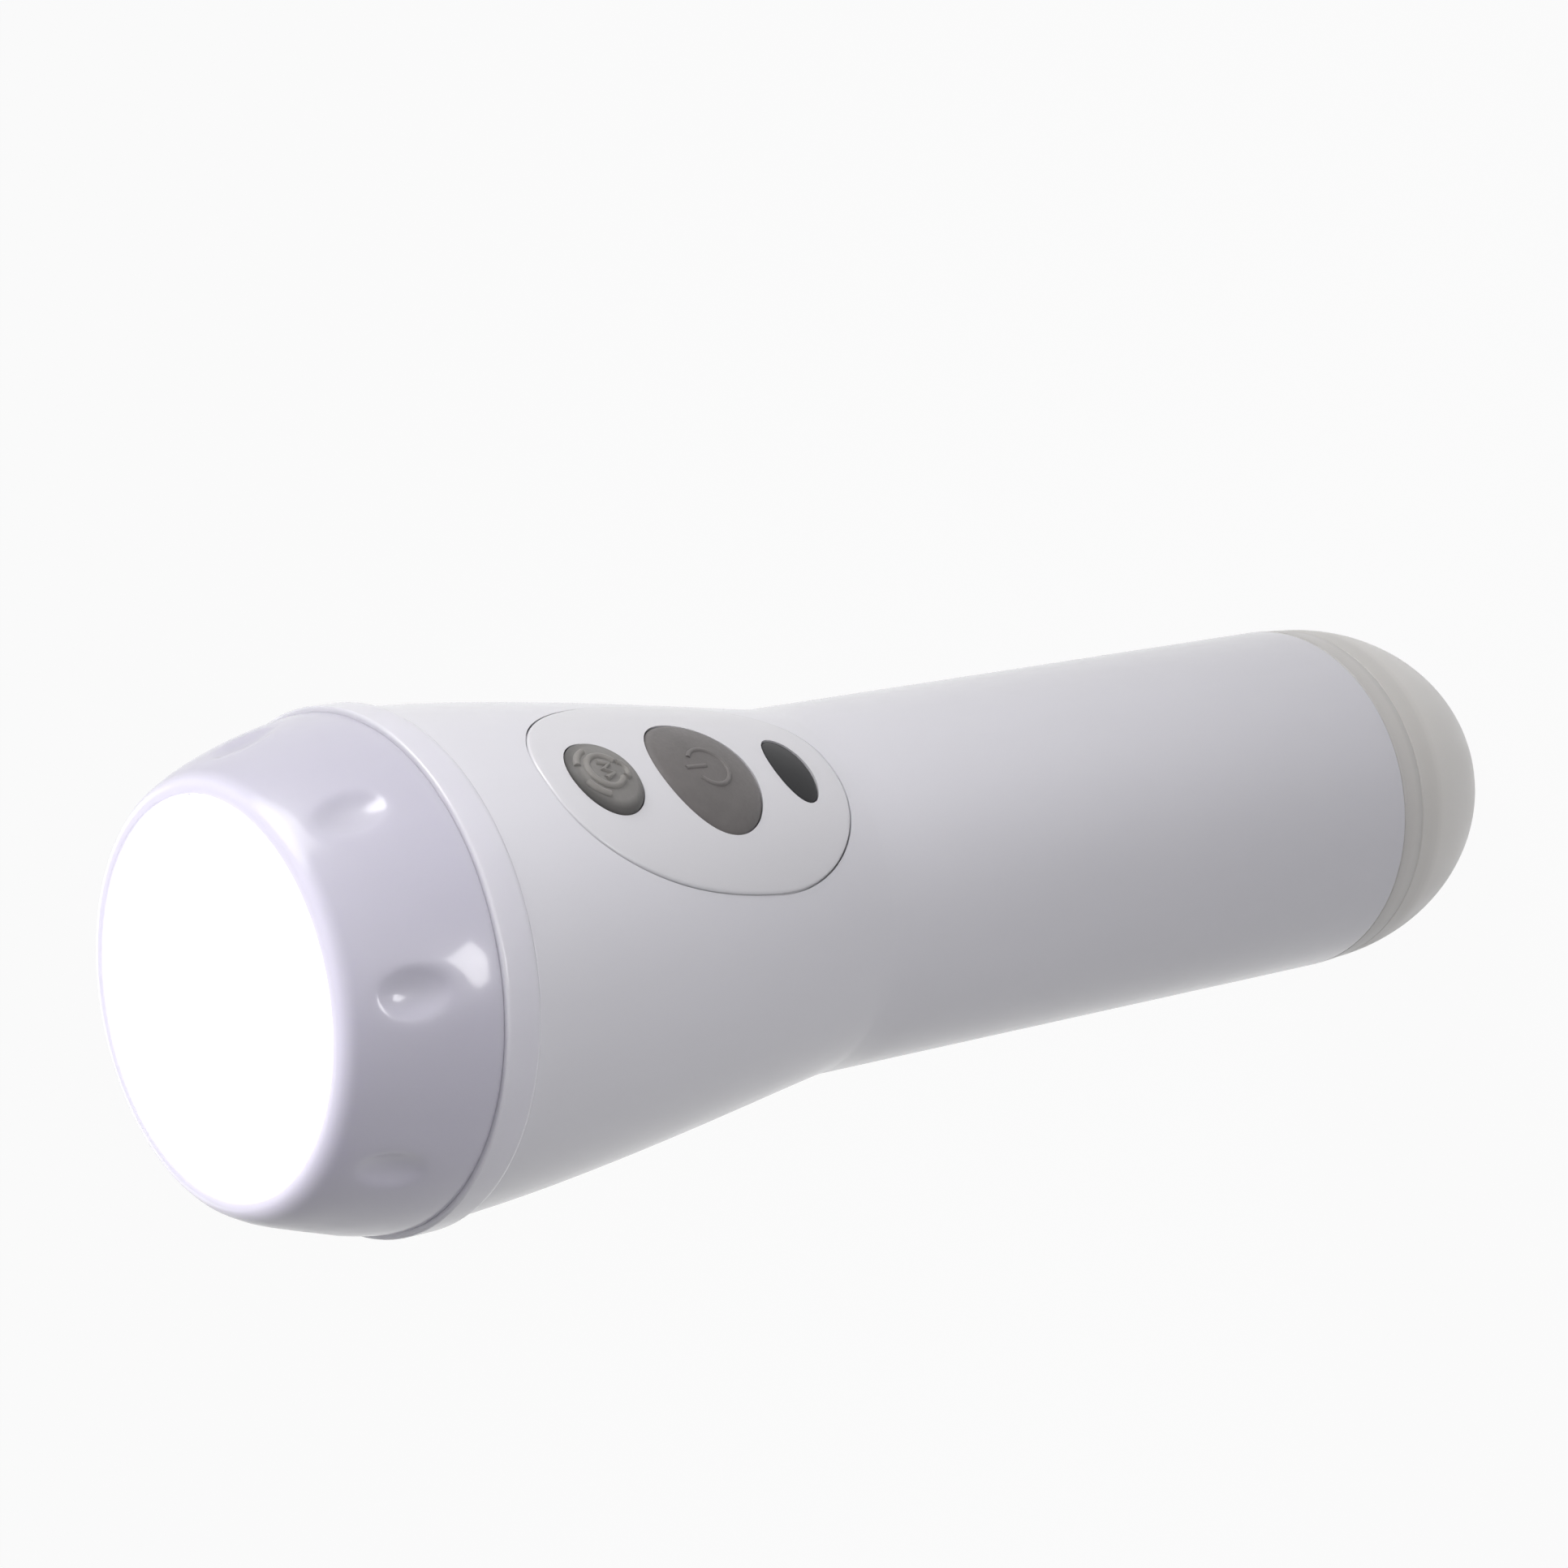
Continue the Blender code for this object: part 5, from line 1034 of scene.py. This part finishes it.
@dataclass
class Key:
    """A push button with a crowned face, a hidden flange and a stem, or a pane of the same form without a stem."""

    name: str
    node: str
    body: Rides
    half: Pair
    height: float
    back: float
    finish: SoftRubber | GlossPlastic
    slot: str
    stem_tip: float = 0.0
    mark: Mark | None = None
    mark_finish: SoftRubber | None = None
    proud: float = 1.0 * MM
    edge_proud: float = 0.3 * MM
    core: float = 12.0 * MM
    flange_margin: float = 0.7 * MM
    flange_height: float = 1.0 * MM
    stem_radius: float = 1.7 * MM
    stem_end: float = 0.2 * MM
    edge_width: float = 0.9 * MM
    edge_depth: float = 0.5 * MM
    edge_steps: int = 10
    crown: tuple[float, ...] = (0.04, 0.15, 0.3, 0.45, 0.6, 0.7)
    stroke: float = 0.3 * MM
    mark_depth: float = 0.08 * MM
    arc_steps: int = 22
    # Share of the colour left on the key's sloping side as painted shade; 1 paints none
    painted_skirt_shade: float = 1.0
    skirt_start: float = 0.76
    skirt_end: float = 0.93
    skirt_edge: float = 0.85
    specular: float = 0.5
    sharp: float = 40.0
    mark_sharp: float = 60.0
    points: int = 96

    def face_depth(self, plan: TorchPlan, across: float, up: float) -> float:
        """Place of the key's face along Y.

        Args:
            plan: The torch's sizes.
            across: Distance to the right of the key's middle.
            up: Distance above the key's middle.

        Returns:
            The Y coordinate.
        """
        radius = plan.body_at(self.height)
        lean = plan.lean_at(self.height, self.half[1])
        sagitta = radius - math.sqrt(radius ** 2 - self.half[0] ** 2)
        drop_along = self.proud - self.edge_proud
        drop_across = sagitta + drop_along
        width = self.half[0] / math.sqrt(1.0 - (1.0 - drop_across / self.core) ** 2)
        height = self.half[1] / math.sqrt(1.0 - (1.0 - drop_along / self.core) ** 2)
        inside = 1.0 - (across / width) ** 2 - (up / math.cos(lean) / height) ** 2
        drop = self.core * (1.0 - math.sqrt(max(inside, 0.0)))
        return -(radius + self.proud) - up * math.tan(lean) + drop / math.cos(lean)

    def ring(self, plan: TorchPlan, share: float, inset: float, depth: float) -> Ring:
        """One ring of points on the key's face or side.

        Args:
            plan: The torch's sizes.
            share: Size of the ring, where 1 is the whole outline.
            inset: How far the ring lies inside that.
            depth: Depth under the face.

        Returns:
            The points.
        """
        places = []
        for angle in turns(self.points):
            across = math.cos(angle) * (self.half[0] * share - inset)
            up = math.sin(angle) * (self.half[1] * share - inset)
            places.append(Vector((across, self.face_depth(plan, across, up) + depth, self.height + up)))
        return places

    def build(self, plan: TorchPlan, bench: Bench) -> None:
        """Makes the key and its raised mark.

        Args:
            plan: The torch's sizes.
            bench: The modelling operations.
        """
        rings = [self.ring(plan, share, 0.0, 0.0) for share in self.crown]
        rings += [self.ring(plan, 1.0, self.edge_width * inset, self.edge_depth * depth)
                  for inset, depth in quarter_round(self.edge_steps)]
        flange = grown(self.half, self.flange_margin)
        front = self.back + self.flange_height
        sides = [(self.half, front), (flange, front), (flange, self.back)]
        if self.stem_tip:
            stem = (self.stem_radius, self.stem_radius)
            sides += [(stem, self.back), (stem, self.stem_tip), ((self.stem_end, self.stem_end), self.stem_tip)]
        rings += [oval(half, distance, self.height, self.points) for half, distance in sides]
        key = bench.loft(self.name, rings)
        finish = self.finish.build()
        finish.give(Specular_IOR_Level=self.specular)
        # Painted shade on the key's sloping side
        if self.painted_skirt_shade < 1.0:
            self.paint_skirt_shade(finish)
        bench.place(key, finish, self.slot, [self.node], self.body, self.sharp)
        if self.mark:
            bead = bench.tube(self.name + "_mark", self.mark_routes(plan), self.stroke)
            bench.place(bead, self.mark_finish.build(), self.slot, (), self.body, self.mark_sharp)

    def paint_skirt_shade(self, finish: Shader) -> None:
        """Darkens the key's sloping side with painted shade.

        Args:
            finish: The key's shader.
        """
        side = finish.maths("DIVIDE", finish.along("X"), self.half[0])
        rise = finish.maths("DIVIDE", finish.maths("SUBTRACT", finish.along("Z"), self.height), self.half[1])
        dark = (self.painted_skirt_shade,) * 3
        painted_shade_mask = finish.ramp(finish.length(side, rise), [(self.skirt_start, WHITE), (self.skirt_end, dark),
                                                       (1.0, shade(dark, self.skirt_edge))])
        finish.mix("MULTIPLY", 1.0, finish.given("Base Color"), painted_shade_mask)

    def mark_routes(self, plan: TorchPlan) -> list[list[Vector]]:
        """Lines of the raised mark.

        Args:
            plan: The torch's sizes.

        Returns:
            Routes over the key's face.
        """
        def arc(size: float, first: float, last: float, rise: float = 0.0) -> list[Pair]:
            """Points of an arc in millimetres, from one angle in degrees to another."""
            return [(size * math.cos(math.radians(angle)), rise + size * math.sin(math.radians(angle)))
                    for angle in spread(first, last, self.arc_steps)]

        if self.mark is Mark.POWER:
            lines = [arc(2.6, 125.0, 415.0), [(0.0, rise) for rise in (3.4, 2.4, 1.4, 0.5)]]
        else:
            foot = [(-1.05, -1.75), (-0.9, -2.35), (0.0, -2.65), (0.9, -2.35), (1.05, -1.75)]
            thread = [(-1.2, 1.1), (-0.65, -0.2), (0.0, 0.9), (0.65, -0.2), (1.2, 1.1)]
            lines = [arc(2.2, -58.0, 238.0, 0.5), foot, thread, arc(3.3, 20.0, 70.0, 0.5), arc(3.3, 110.0, 160.0, 0.5)]
        return [[Vector((across * MM, self.face_depth(plan, across * MM, up * MM) + self.mark_depth,
                         self.height + up * MM)) for across, up in line] for line in lines]


@dataclass
class Body(Section):
    """The flared shell, its flush egg-shaped panel, the keys and the sensor window."""

    steps: int = 224
    flare_rows: int = 64
    grip_rows: int = 24
    mouth_bottom: float = 159.45 * MM
    edge_height: float = 0.4 * MM
    edge_rounding: float = 0.35 * MM
    inner_rounding: float = 0.2 * MM
    foot_depth: float = 4.0 * MM
    wall_start: float = 8.0 * MM
    mode_height: float = 150.5 * MM
    mode_half: Pair = (5.2 * MM, 4.6 * MM)
    power_height: float = 135.4 * MM
    power_half: Pair = (8.25 * MM, 6.9 * MM)
    window_height: float = 121.85 * MM
    window_half: Pair = (4.8 * MM, 2.8 * MM)
    flange_margin: float = 0.7 * MM
    hole_reach: Pair = (12.0 * MM, 34.0 * MM)
    hole_points: int = 96
    bed_reach: Pair = (2.0 * MM, 40.0 * MM)
    bed_margin: float = 4.0 * MM
    bed_rows: int = 56
    panel_shares: Pair = (0.02, 0.96)
    panel_rows: int = 26
    back_rows: int = 12
    lip_steps: int = 6
    panel_lip: float = 0.35 * MM
    panel_play: float = 0.01 * MM
    ledge_fall: float = 0.03 * MM
    outline_points: int = 160

    def build(self) -> None:
        """Makes the body's pieces."""
        self.make_shell()
        self.make_panel()
        self.make_keys()

    def make_shell(self) -> None:
        """Turns the shell, sinks the panel's recess and opens the holes behind the keys."""
        plan = self.plan
        waist = plan.body_top - plan.flare_length
        top = traced(plan.body_at, plan.body_top - self.edge_height, waist, self.flare_rows)
        low = traced(plan.body_at, waist, plan.body_bottom + self.edge_height, self.grip_rows)[1:]
        mouth = plan.spigot_radius + plan.seam
        bore = plan.grip_radius - plan.body_wall
        edge = rounded([Corner(mouth, self.mouth_bottom), Corner(mouth, plan.body_top, self.inner_rounding),
                        Corner(plan.neck_radius, plan.body_top, self.edge_rounding), Corner(*top[0])], False)
        foot = rounded([Corner(*low[-1]), Corner(plan.tail_radius, plan.body_bottom, self.edge_rounding),
                        Corner(bore, plan.body_bottom, self.inner_rounding),
                        Corner(bore, plan.body_bottom + self.foot_depth)], False)
        inner = traced(plan.body_at, plan.body_bottom + self.wall_start, self.mouth_bottom, self.grip_rows,
                       plan.body_wall)
        profile = edge[1:-1] + top + low + foot[1:] + inner + [edge[0]]
        shell = self.bench.lathe("body_tube", profile, self.steps, True)
        self.cut_bed(shell)
        self.cut_holes(shell, self.flange_margin + plan.seam)
        self.bench.place(shell, self.finishes.body.build(), "white_plastic", ["body_shell"])

    def cut_bed(self, shell: Piece) -> None:
        """Sinks the panel's recess, whose floor follows the body's curve.

        Args:
            shell: The turned shell.
        """
        plan = self.plan
        low = plan.panel_line - plan.panel_lower - self.bed_margin
        high = plan.panel_line + plan.panel_upper + self.bed_margin
        front = traced(plan.body_at, high, low, self.bed_rows, -self.bed_margin)
        floor = traced(plan.body_at, high, low, self.bed_rows, plan.panel_thickness + plan.seam)
        bed = self.bench.lathe("panel_bed", front + floor[::-1], self.steps, True)
        egg = plan.egg(1.0, plan.panel_groove, self.outline_points)
        bar = self.bench.loft("bed_outline", [[Vector((across, -distance, height)) for across, height in egg]
                                              for distance in self.bed_reach])
        self.bench.boolean(bed, bar, "INTERSECT")
        self.bench.boolean(shell, bed)

    def cut_holes(self, piece: Piece, margin: float) -> None:
        """Opens a piece for the keys and the window.

        Args:
            piece: The piece.
            margin: How far the openings are grown beyond the keys.
        """
        for half, height in ((self.mode_half, self.mode_height), (self.power_half, self.power_height),
                             (self.window_half, self.window_height)):
            rings = [oval(grown(half, margin), distance, height, self.hole_points) for distance in self.hole_reach]
            self.bench.boolean(piece, self.bench.loft("hole", rings))

    def make_panel(self) -> None:
        """Lofts the egg-shaped panel over the body's curve and cuts the openings for keys and window."""
        plan = self.plan
        lip = self.panel_lip
        side = plan.panel_groove - self.panel_play
        middle, edge = self.panel_shares
        rows = [(share, 0.0, -plan.panel_proud) for share in spread(middle, edge, self.panel_rows)]
        rows += [(1.0, plan.panel_growth - lip * inset, lip * depth - plan.panel_proud)
                 for inset, depth in quarter_round(self.lip_steps)]
        rows += [(1.0, plan.panel_growth, plan.panel_ledge), (1.0, side, plan.panel_ledge + self.ledge_fall),
                 (1.0, side, plan.panel_thickness)]
        rows += [(share, 0.0, plan.panel_thickness) for share in spread(edge, middle, self.back_rows)]
        rings = [[plan.on_body(across, height, depth)
                  for across, height in plan.egg(share, margin, self.outline_points)]
                 for share, margin, depth in rows]
        panel = self.bench.loft("panel_cover", rings)
        self.cut_holes(panel, plan.hole_gap)
        self.bench.place(panel, self.finishes.panel.build(), "white_plastic", ["control_panel"])

    def make_keys(self) -> None:
        """Makes the two push buttons and the window."""
        finishes = self.finishes
        keys = [
            Key("mode_cap", "mode_button", Rides.MODE_KEY, self.mode_half, self.mode_height, back=24.04 * MM,
                finish=finishes.mode_key, slot="grey_rubber", stem_tip=20.02 * MM, mark=Mark.LAMP,
                mark_finish=finishes.mode_mark, proud=1.2 * MM, edge_proud=0.68 * MM, edge_width=1.0 * MM,
                edge_depth=0.75 * MM, stroke=0.42 * MM, painted_skirt_shade=0.42),
            Key("power_cap", "power_button", Rides.POWER_KEY, self.power_half, self.power_height, back=21.02 * MM,
                finish=finishes.power_key, slot="dark_rubber", stem_tip=20.02 * MM, mark=Mark.POWER,
                mark_finish=finishes.power_mark),
            Key("window_pane", "sensor_window", Rides.TORCH, self.window_half, self.window_height,
                back=20.19 * MM, finish=finishes.window, slot="smoked_plastic", proud=0.1 * MM, edge_proud=0.0,
                edge_width=0.2 * MM, edge_depth=0.2 * MM, edge_steps=5, crown=(0.04, 0.2, 0.4, 0.6, 0.75, 0.87),
                specular=0.25)]
        for key in keys:
            key.build(self.plan, self.bench)


@dataclass
class Tail(Section):
    """The frosted ring and the night-light dome on which the torch stands."""

    steps: int = 224
    outer_rows: int = 40
    inner_rows: int = 24
    wall: float = 1.8 * MM
    ring_bore: float = 17.55 * MM
    ring_spigot: float = 19.25 * MM
    ring_spigot_top: float = 33.0 * MM
    ring_edge: float = 0.2 * MM
    seam_edge: float = 0.12 * MM
    inner_edge: float = 0.1 * MM
    spigot_edge: float = 0.3 * MM
    dome_spigot: float = 17.25 * MM
    dome_bore: float = 15.45 * MM
    dome_spigot_top: float = 26.95 * MM
    dome_edge: float = 0.2 * MM
    dome_fall: float = 0.5 * MM
    foot_rounding: float = 0.9 * MM
    streaks: Grain = Grain(900.0, 2.0, (0.02, 0.02, 1.0))
    streak_shift: float = 0.02
    # Places up the tail, from the foot to the ring's top, with factors on the colour: painted shade where the spigots
    # sit, painted light towards the foot
    painted_light_and_shade: tuple[Pair, ...] = ((0.0, 1.05), (0.66, 1.0), (0.76, 0.88), (0.85, 0.89), (0.9, 0.97), (1.0, 0.88))

    def build(self) -> None:
        """Makes the tail's pieces."""
        self.make_ring()
        self.make_dome()

    def make_ring(self) -> None:
        """Turns the pale ring with its spigot."""
        plan = self.plan
        profile = rounded([Corner(self.ring_spigot, self.ring_spigot_top, self.spigot_edge),
                           Corner(self.ring_spigot, plan.ring_top, self.inner_edge),
                           Corner(plan.tail_radius, plan.ring_top, self.ring_edge),
                           Corner(plan.dome_radius, plan.ring_bottom, self.seam_edge),
                           Corner(self.ring_bore, plan.ring_bottom, self.inner_edge),
                           Corner(self.ring_bore, self.ring_spigot_top, self.spigot_edge)], True)
        ring = self.bench.lathe("tail_band", profile, self.steps, True)
        finish = self.finishes.tail_ring.build()
        # Painted shade and painted light in rings round the axis
        self.band(finish, self.finishes.tail_ring.colour)
        self.bench.place(ring, finish, "frosted_plastic", ["tail_ring"])

    def make_dome(self) -> None:
        """Turns the dome: an elliptical bowl with a flat foot and a spigot."""
        plan = self.plan
        outer = traced(plan.dome_at, plan.dome_top - self.dome_fall, self.foot_rounding, self.outer_rows)
        shoulder = rounded([Corner(self.dome_spigot, plan.dome_top),
                            Corner(plan.dome_at(plan.dome_top), plan.dome_top, self.dome_edge),
                            Corner(*outer[0])], False)
        foot = rounded([Corner(*outer[-1]), Corner(plan.dome_at(0.0), 0.0, self.foot_rounding),
                        Corner(0.0, 0.0)], False)
        inside = traced(plan.dome_at, self.wall, plan.dome_top - self.wall, self.inner_rows, self.wall)
        spigot = rounded([Corner(self.dome_bore, plan.dome_top - self.wall),
                          Corner(self.dome_bore, self.dome_spigot_top, self.spigot_edge),
                          Corner(self.dome_spigot, self.dome_spigot_top, self.spigot_edge),
                          Corner(self.dome_spigot, plan.dome_top)], False)
        profile = [Vector((0.0, self.wall))] + inside + spigot[:-1] + shoulder[:-1] + outer + foot[1:]
        dome = self.bench.lathe("dome_cap", profile, self.steps)
        finish = self.finishes.frosted.build()
        finish.give(Transmission_Weight=0.08)
        # Painted shade and painted light in rings round the axis
        self.band(finish, self.finishes.frosted.colour)
        self.bench.place(dome, finish, "frosted_plastic", ["night_dome"])

    def band(self, finish: Shader, colour: Colour) -> None:
        """Paints soft darker rings round the frosted plastic where the spigots sit behind it, and a slightly lighter
        tone towards the foot: painted shade and painted light.

        Args:
            finish: The piece's shader.
            colour: The plastic's colour.
        """
        place = finish.span(finish.along("Z"), 0.0, self.plan.ring_top)
        shift = self.streak_shift
        streaks = finish.span(finish.noise(self.streaks), NOISE_LOW, NOISE_HIGH, -shift, shift)
        # Colour with painted shade and light along the axis, broken by random streaks
        finish.give(Base_Color=finish.ramp(finish.maths("ADD", place, streaks),
                                           [(stop, shade(colour, factor)) for stop, factor in self.painted_light_and_shade]))


def numbered(name: str, count: int) -> list[str]:
    """Names of repeated nodes, numbered from 1."""
    return ["%s_%d" % (name, number) for number in range(1, count + 1)]


@dataclass
class Inside:
    """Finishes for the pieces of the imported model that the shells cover."""

    finishes: Finishes
    cell_middle: float = 66.5 * MM
    cell_reach: float = 26.0 * MM
    cap_start: float = 23.5 * MM
    cap_edge: float = 0.2 * MM
    coil_pitch: float = 0.5 * MM
    coil_roughness: Pair = (0.25, 0.4)
    coil_relief: float = 0.08 * MM
    coil_strength: float = 0.8
    wear: Grain = Grain(1500.0)
    creases: Grain = Grain(160.0, 4.0, (1.0, 1.0, 4.0))
    crease_relief: float = 0.05 * MM
    crease_strength: float = 0.4
    sleeve_roughness: Pair = (0.22, 0.36)
    sleeve_middle: Colour = (0.04, 0.26, 0.28)
    sleeve_edge: Colour = (0.05, 0.30, 0.32)
    sleeve_band: Colour = (0.45, 0.52, 0.52)
    sleeve_end: Colour = (0.04, 0.24, 0.26)
    cap_colour: Colour = (0.62, 0.62, 0.63)

    def dress(self, names: Sequence[str], finish: Shader) -> None:
        """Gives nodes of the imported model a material.

        Args:
            names: The nodes.
            finish: Their shader.
        """
        for name in names:
            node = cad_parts[name]
            if not node.material_slots:
                node.data.materials.append(finish.material)
            for slot in node.material_slots:
                slot.material = finish.material
        LOG.info("dressed %d nodes with %s", len(names), finish.material.name)

    def build(self) -> None:
        """Dresses every covered piece."""
        finishes = self.finishes
        self.dress(["lens_gasket", "head_seal"], finishes.seal.build())
        self.dress(["reflector"], finishes.mirror.build())
        self.dress(["main_led"] + numbered("night_led", 3), finishes.phosphor.build())
        self.dress(["led_board", "main_board", "night_board"], finishes.board.build())
        self.dress(["heat_spreader"], finishes.aluminium.build())
        self.dress(numbered("board_screw", 4) + numbered("tail_screw", 3) + numbered("contact_spring", 3)
                   + numbered("contact_plate", 3), finishes.steel.build())
        self.dress(["chassis", "tail_bulkhead", "coil_carrier", "mode_plunger", "power_plunger"],
                   finishes.inner.build())
        self.dress(["battery_holder", "mode_switch", "power_switch"], finishes.black.build())
        self.dress(["light_sensor"], finishes.window.build())
        self.dress(numbered("battery_cell", 3), self.cell_sleeve())
        self.dress(["coil_ferrite"], finishes.ferrite.build())
        self.dress(["charging_coil"] + numbered("coil_lead", 2), self.winding())
        self.dress(["led_wire_red", "pack_wire_red"], finishes.red_wire.build())
        self.dress(["led_wire_black", "pack_wire_black"] + numbered("tail_wire", 2), finishes.black_wire.build())

    def cell_sleeve(self) -> Shader:
        """Shrunk blue-green sleeve with a paler band, and bare metal at both ends of a cell.

        Returns:
            The shader.
        """
        made = Shader("cell_sleeve")
        made.give(IOR=1.5, Coat_Weight=0.4, Coat_Roughness=0.12)
        middle = made.maths("ABSOLUTE", made.maths("SUBTRACT", made.along("Z"), self.cell_middle))
        stops = [(0.0, self.sleeve_middle), (0.60, self.sleeve_edge), (0.62, self.sleeve_band),
                 (0.68, self.sleeve_band), (0.70, self.sleeve_end), (0.90, self.sleeve_end), (0.92, self.cap_colour)]
        made.give(Base_Color=made.ramp(made.span(middle, 0.0, self.cell_reach), stops),
                  Metallic=made.span(middle, self.cap_start, self.cap_start + self.cap_edge))
        creases = made.noise(self.creases)
        made.polish(creases, *self.sleeve_roughness)
        made.bump(creases, self.crease_relief, self.crease_strength)
        return made

    def winding(self) -> Shader:
        """Enamelled copper whose turns show as fine rings round the axis.

        Returns:
            The shader.
        """
        made = Shader("copper_winding")
        made.give(Metallic=1.0, Coat_Weight=0.7, Coat_Roughness=0.1)
        rings = made.maths("SINE", made.maths("MULTIPLY", made.from_axis(), 2.0 * math.pi / self.coil_pitch))
        stops = [(0.0, (0.22, 0.08, 0.03)), (0.5, (0.66, 0.30, 0.12)), (1.0, (0.80, 0.40, 0.18))]
        made.give(Base_Color=made.ramp(made.span(rings, -1.0, 1.0), stops))
        made.polish(made.noise(self.wear), *self.coil_roughness)
        made.bump(rings, self.coil_relief, self.coil_strength)
        return made


@dataclass(frozen=True)
class Lamp:
    """A soft rectangular light that the camera doesn't see, with its power in watts and its angles in degrees."""

    name: str
    place: Point
    aim: Point
    size: Pair
    power: float
    spread: float
    roll: float = 0.0
    in_gloss: bool = True
    colour: Colour = (1.0, 0.99, 1.0)

    def hang(self) -> None:
        """Adds the light to the scene."""
        data = bpy.data.lights.new(self.name, "AREA")
        data.shape = "RECTANGLE"
        data.size, data.size_y = self.size
        data.energy = self.power
        data.color = self.colour
        data.spread = math.radians(self.spread)
        light = bpy.data.objects.new(self.name, data)
        light.location = self.place
        turn = (Vector(self.aim) - Vector(self.place)).to_track_quat("-Z", "Y").to_matrix()
        light.rotation_euler = (turn @ Matrix.Rotation(math.radians(self.roll), 3, "Z")).to_euler()
        light.visible_camera = False
        light.visible_glossy = self.in_gloss
        bpy.context.scene.collection.objects.link(light)


@dataclass
class Studio:
    """The pale floor, the soft lights and the camera."""

    camera_place: Point = (-0.21121, -0.29675, 0.41812)
    camera_right: Point = (-0.51801, -0.41014, -0.75063)
    camera_up: Point = (0.71982, -0.68308, -0.12351)
    camera_forward: Point = (0.46209, 0.60430, -0.64907)
    lens: float = 93.17
    sensor: float = 36.0
    nearest: float = 0.01
    floor_size: float = 12.0
    floor_colour: Colour = (0.45, 0.45, 0.47)
    floor_white: float = 0.95
    fill: Colour = (0.155, 0.155, 0.165)
    lamps: tuple[Lamp, ...] = (
        Lamp("key_light", place=(0.34, -0.34, 0.40), aim=(0.0, 0.0, 0.205), size=(0.40, 0.34), power=0.41,
             spread=58.0),
        Lamp("back_light", place=(0.36, 0.47, 0.26), aim=(0.0, 0.0, 0.1), size=(0.5, 0.4), power=0.22, spread=70.0),
        Lamp("front_light", place=(-0.336, -0.383, 0.042), aim=(-0.018, -0.022, 0.1755), size=(0.14, 0.10),
             power=0.5, spread=180.0, roll=38.0),
        Lamp("head_light", place=(-0.20, -0.36, 0.34), aim=(0.0, 0.0, 0.205), size=(0.30, 0.24), power=0.085,
             spread=56.0, in_gloss=False))

    def build(self) -> None:
        """Sets up the studio."""
        self.make_camera()
        self.make_floor()
        self.make_world()
        for lamp in self.lamps:
            lamp.hang()
        bpy.context.scene.view_settings.view_transform = "Standard"

    def make_camera(self) -> None:
        """Places the camera at the photograph's viewing angle."""
        data = bpy.data.cameras.new("photo_camera")
        data.lens = self.lens
        data.sensor_width = self.sensor
        data.sensor_fit = "HORIZONTAL"
        data.clip_start = self.nearest
        camera = bpy.data.objects.new("photo_camera", data)
        bpy.context.scene.collection.objects.link(camera)
        back = -Vector(self.camera_forward)
        turn = Matrix((self.camera_right, self.camera_up, back)).transposed().to_4x4()
        camera.matrix_world = Matrix.Translation(self.camera_place) @ turn
        bpy.context.scene.camera = camera

    def make_floor(self) -> None:
        """Lays a plain pale floor that still shows the torch's shadow."""
        bpy.ops.object.select_all(action="DESELECT")
        bpy.ops.mesh.primitive_plane_add(size=self.floor_size)
        floor = bpy.context.object
        floor.name = "studio_floor"
        material = bpy.data.materials.new("studio_floor")
        material.use_nodes = True
        sheet = Sheet(material.node_tree)
        sheet.tree.nodes.clear()
        sheet.show(sheet.node("BsdfDiffuse", {"Color": self.floor_colour}), sheet.node("Emission", {"Color": WHITE}),
                   self.floor_white, "ShaderNodeOutputMaterial")
        floor.data.materials.append(material)

    def make_world(self) -> None:
        """Gives an even fill, with a white background."""
        world = bpy.data.worlds.new("studio_world")
        bpy.context.scene.world = world
        world.use_nodes = True
        sheet = Sheet(world.node_tree)
        sheet.tree.nodes.clear()
        sheet.show(sheet.node("Background", {"Color": self.fill}), sheet.node("Background", {"Color": WHITE}), 1.0,
                   "ShaderNodeOutputWorld")


def main() -> None:
    """Builds and dresses the torch and its studio."""
    logging.basicConfig(level=logging.INFO, format="%(name)s: %(message)s")
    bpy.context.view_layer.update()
    plan = TorchPlan()
    bench = Bench()
    finishes = Finishes()
    Studio().build()
    Head(plan, bench, finishes).build()
    Body(plan, bench, finishes).build()
    Tail(plan, bench, finishes).build()
    Inside(finishes).build()
    bench.clear()


if __name__ == "__main__":
    main()
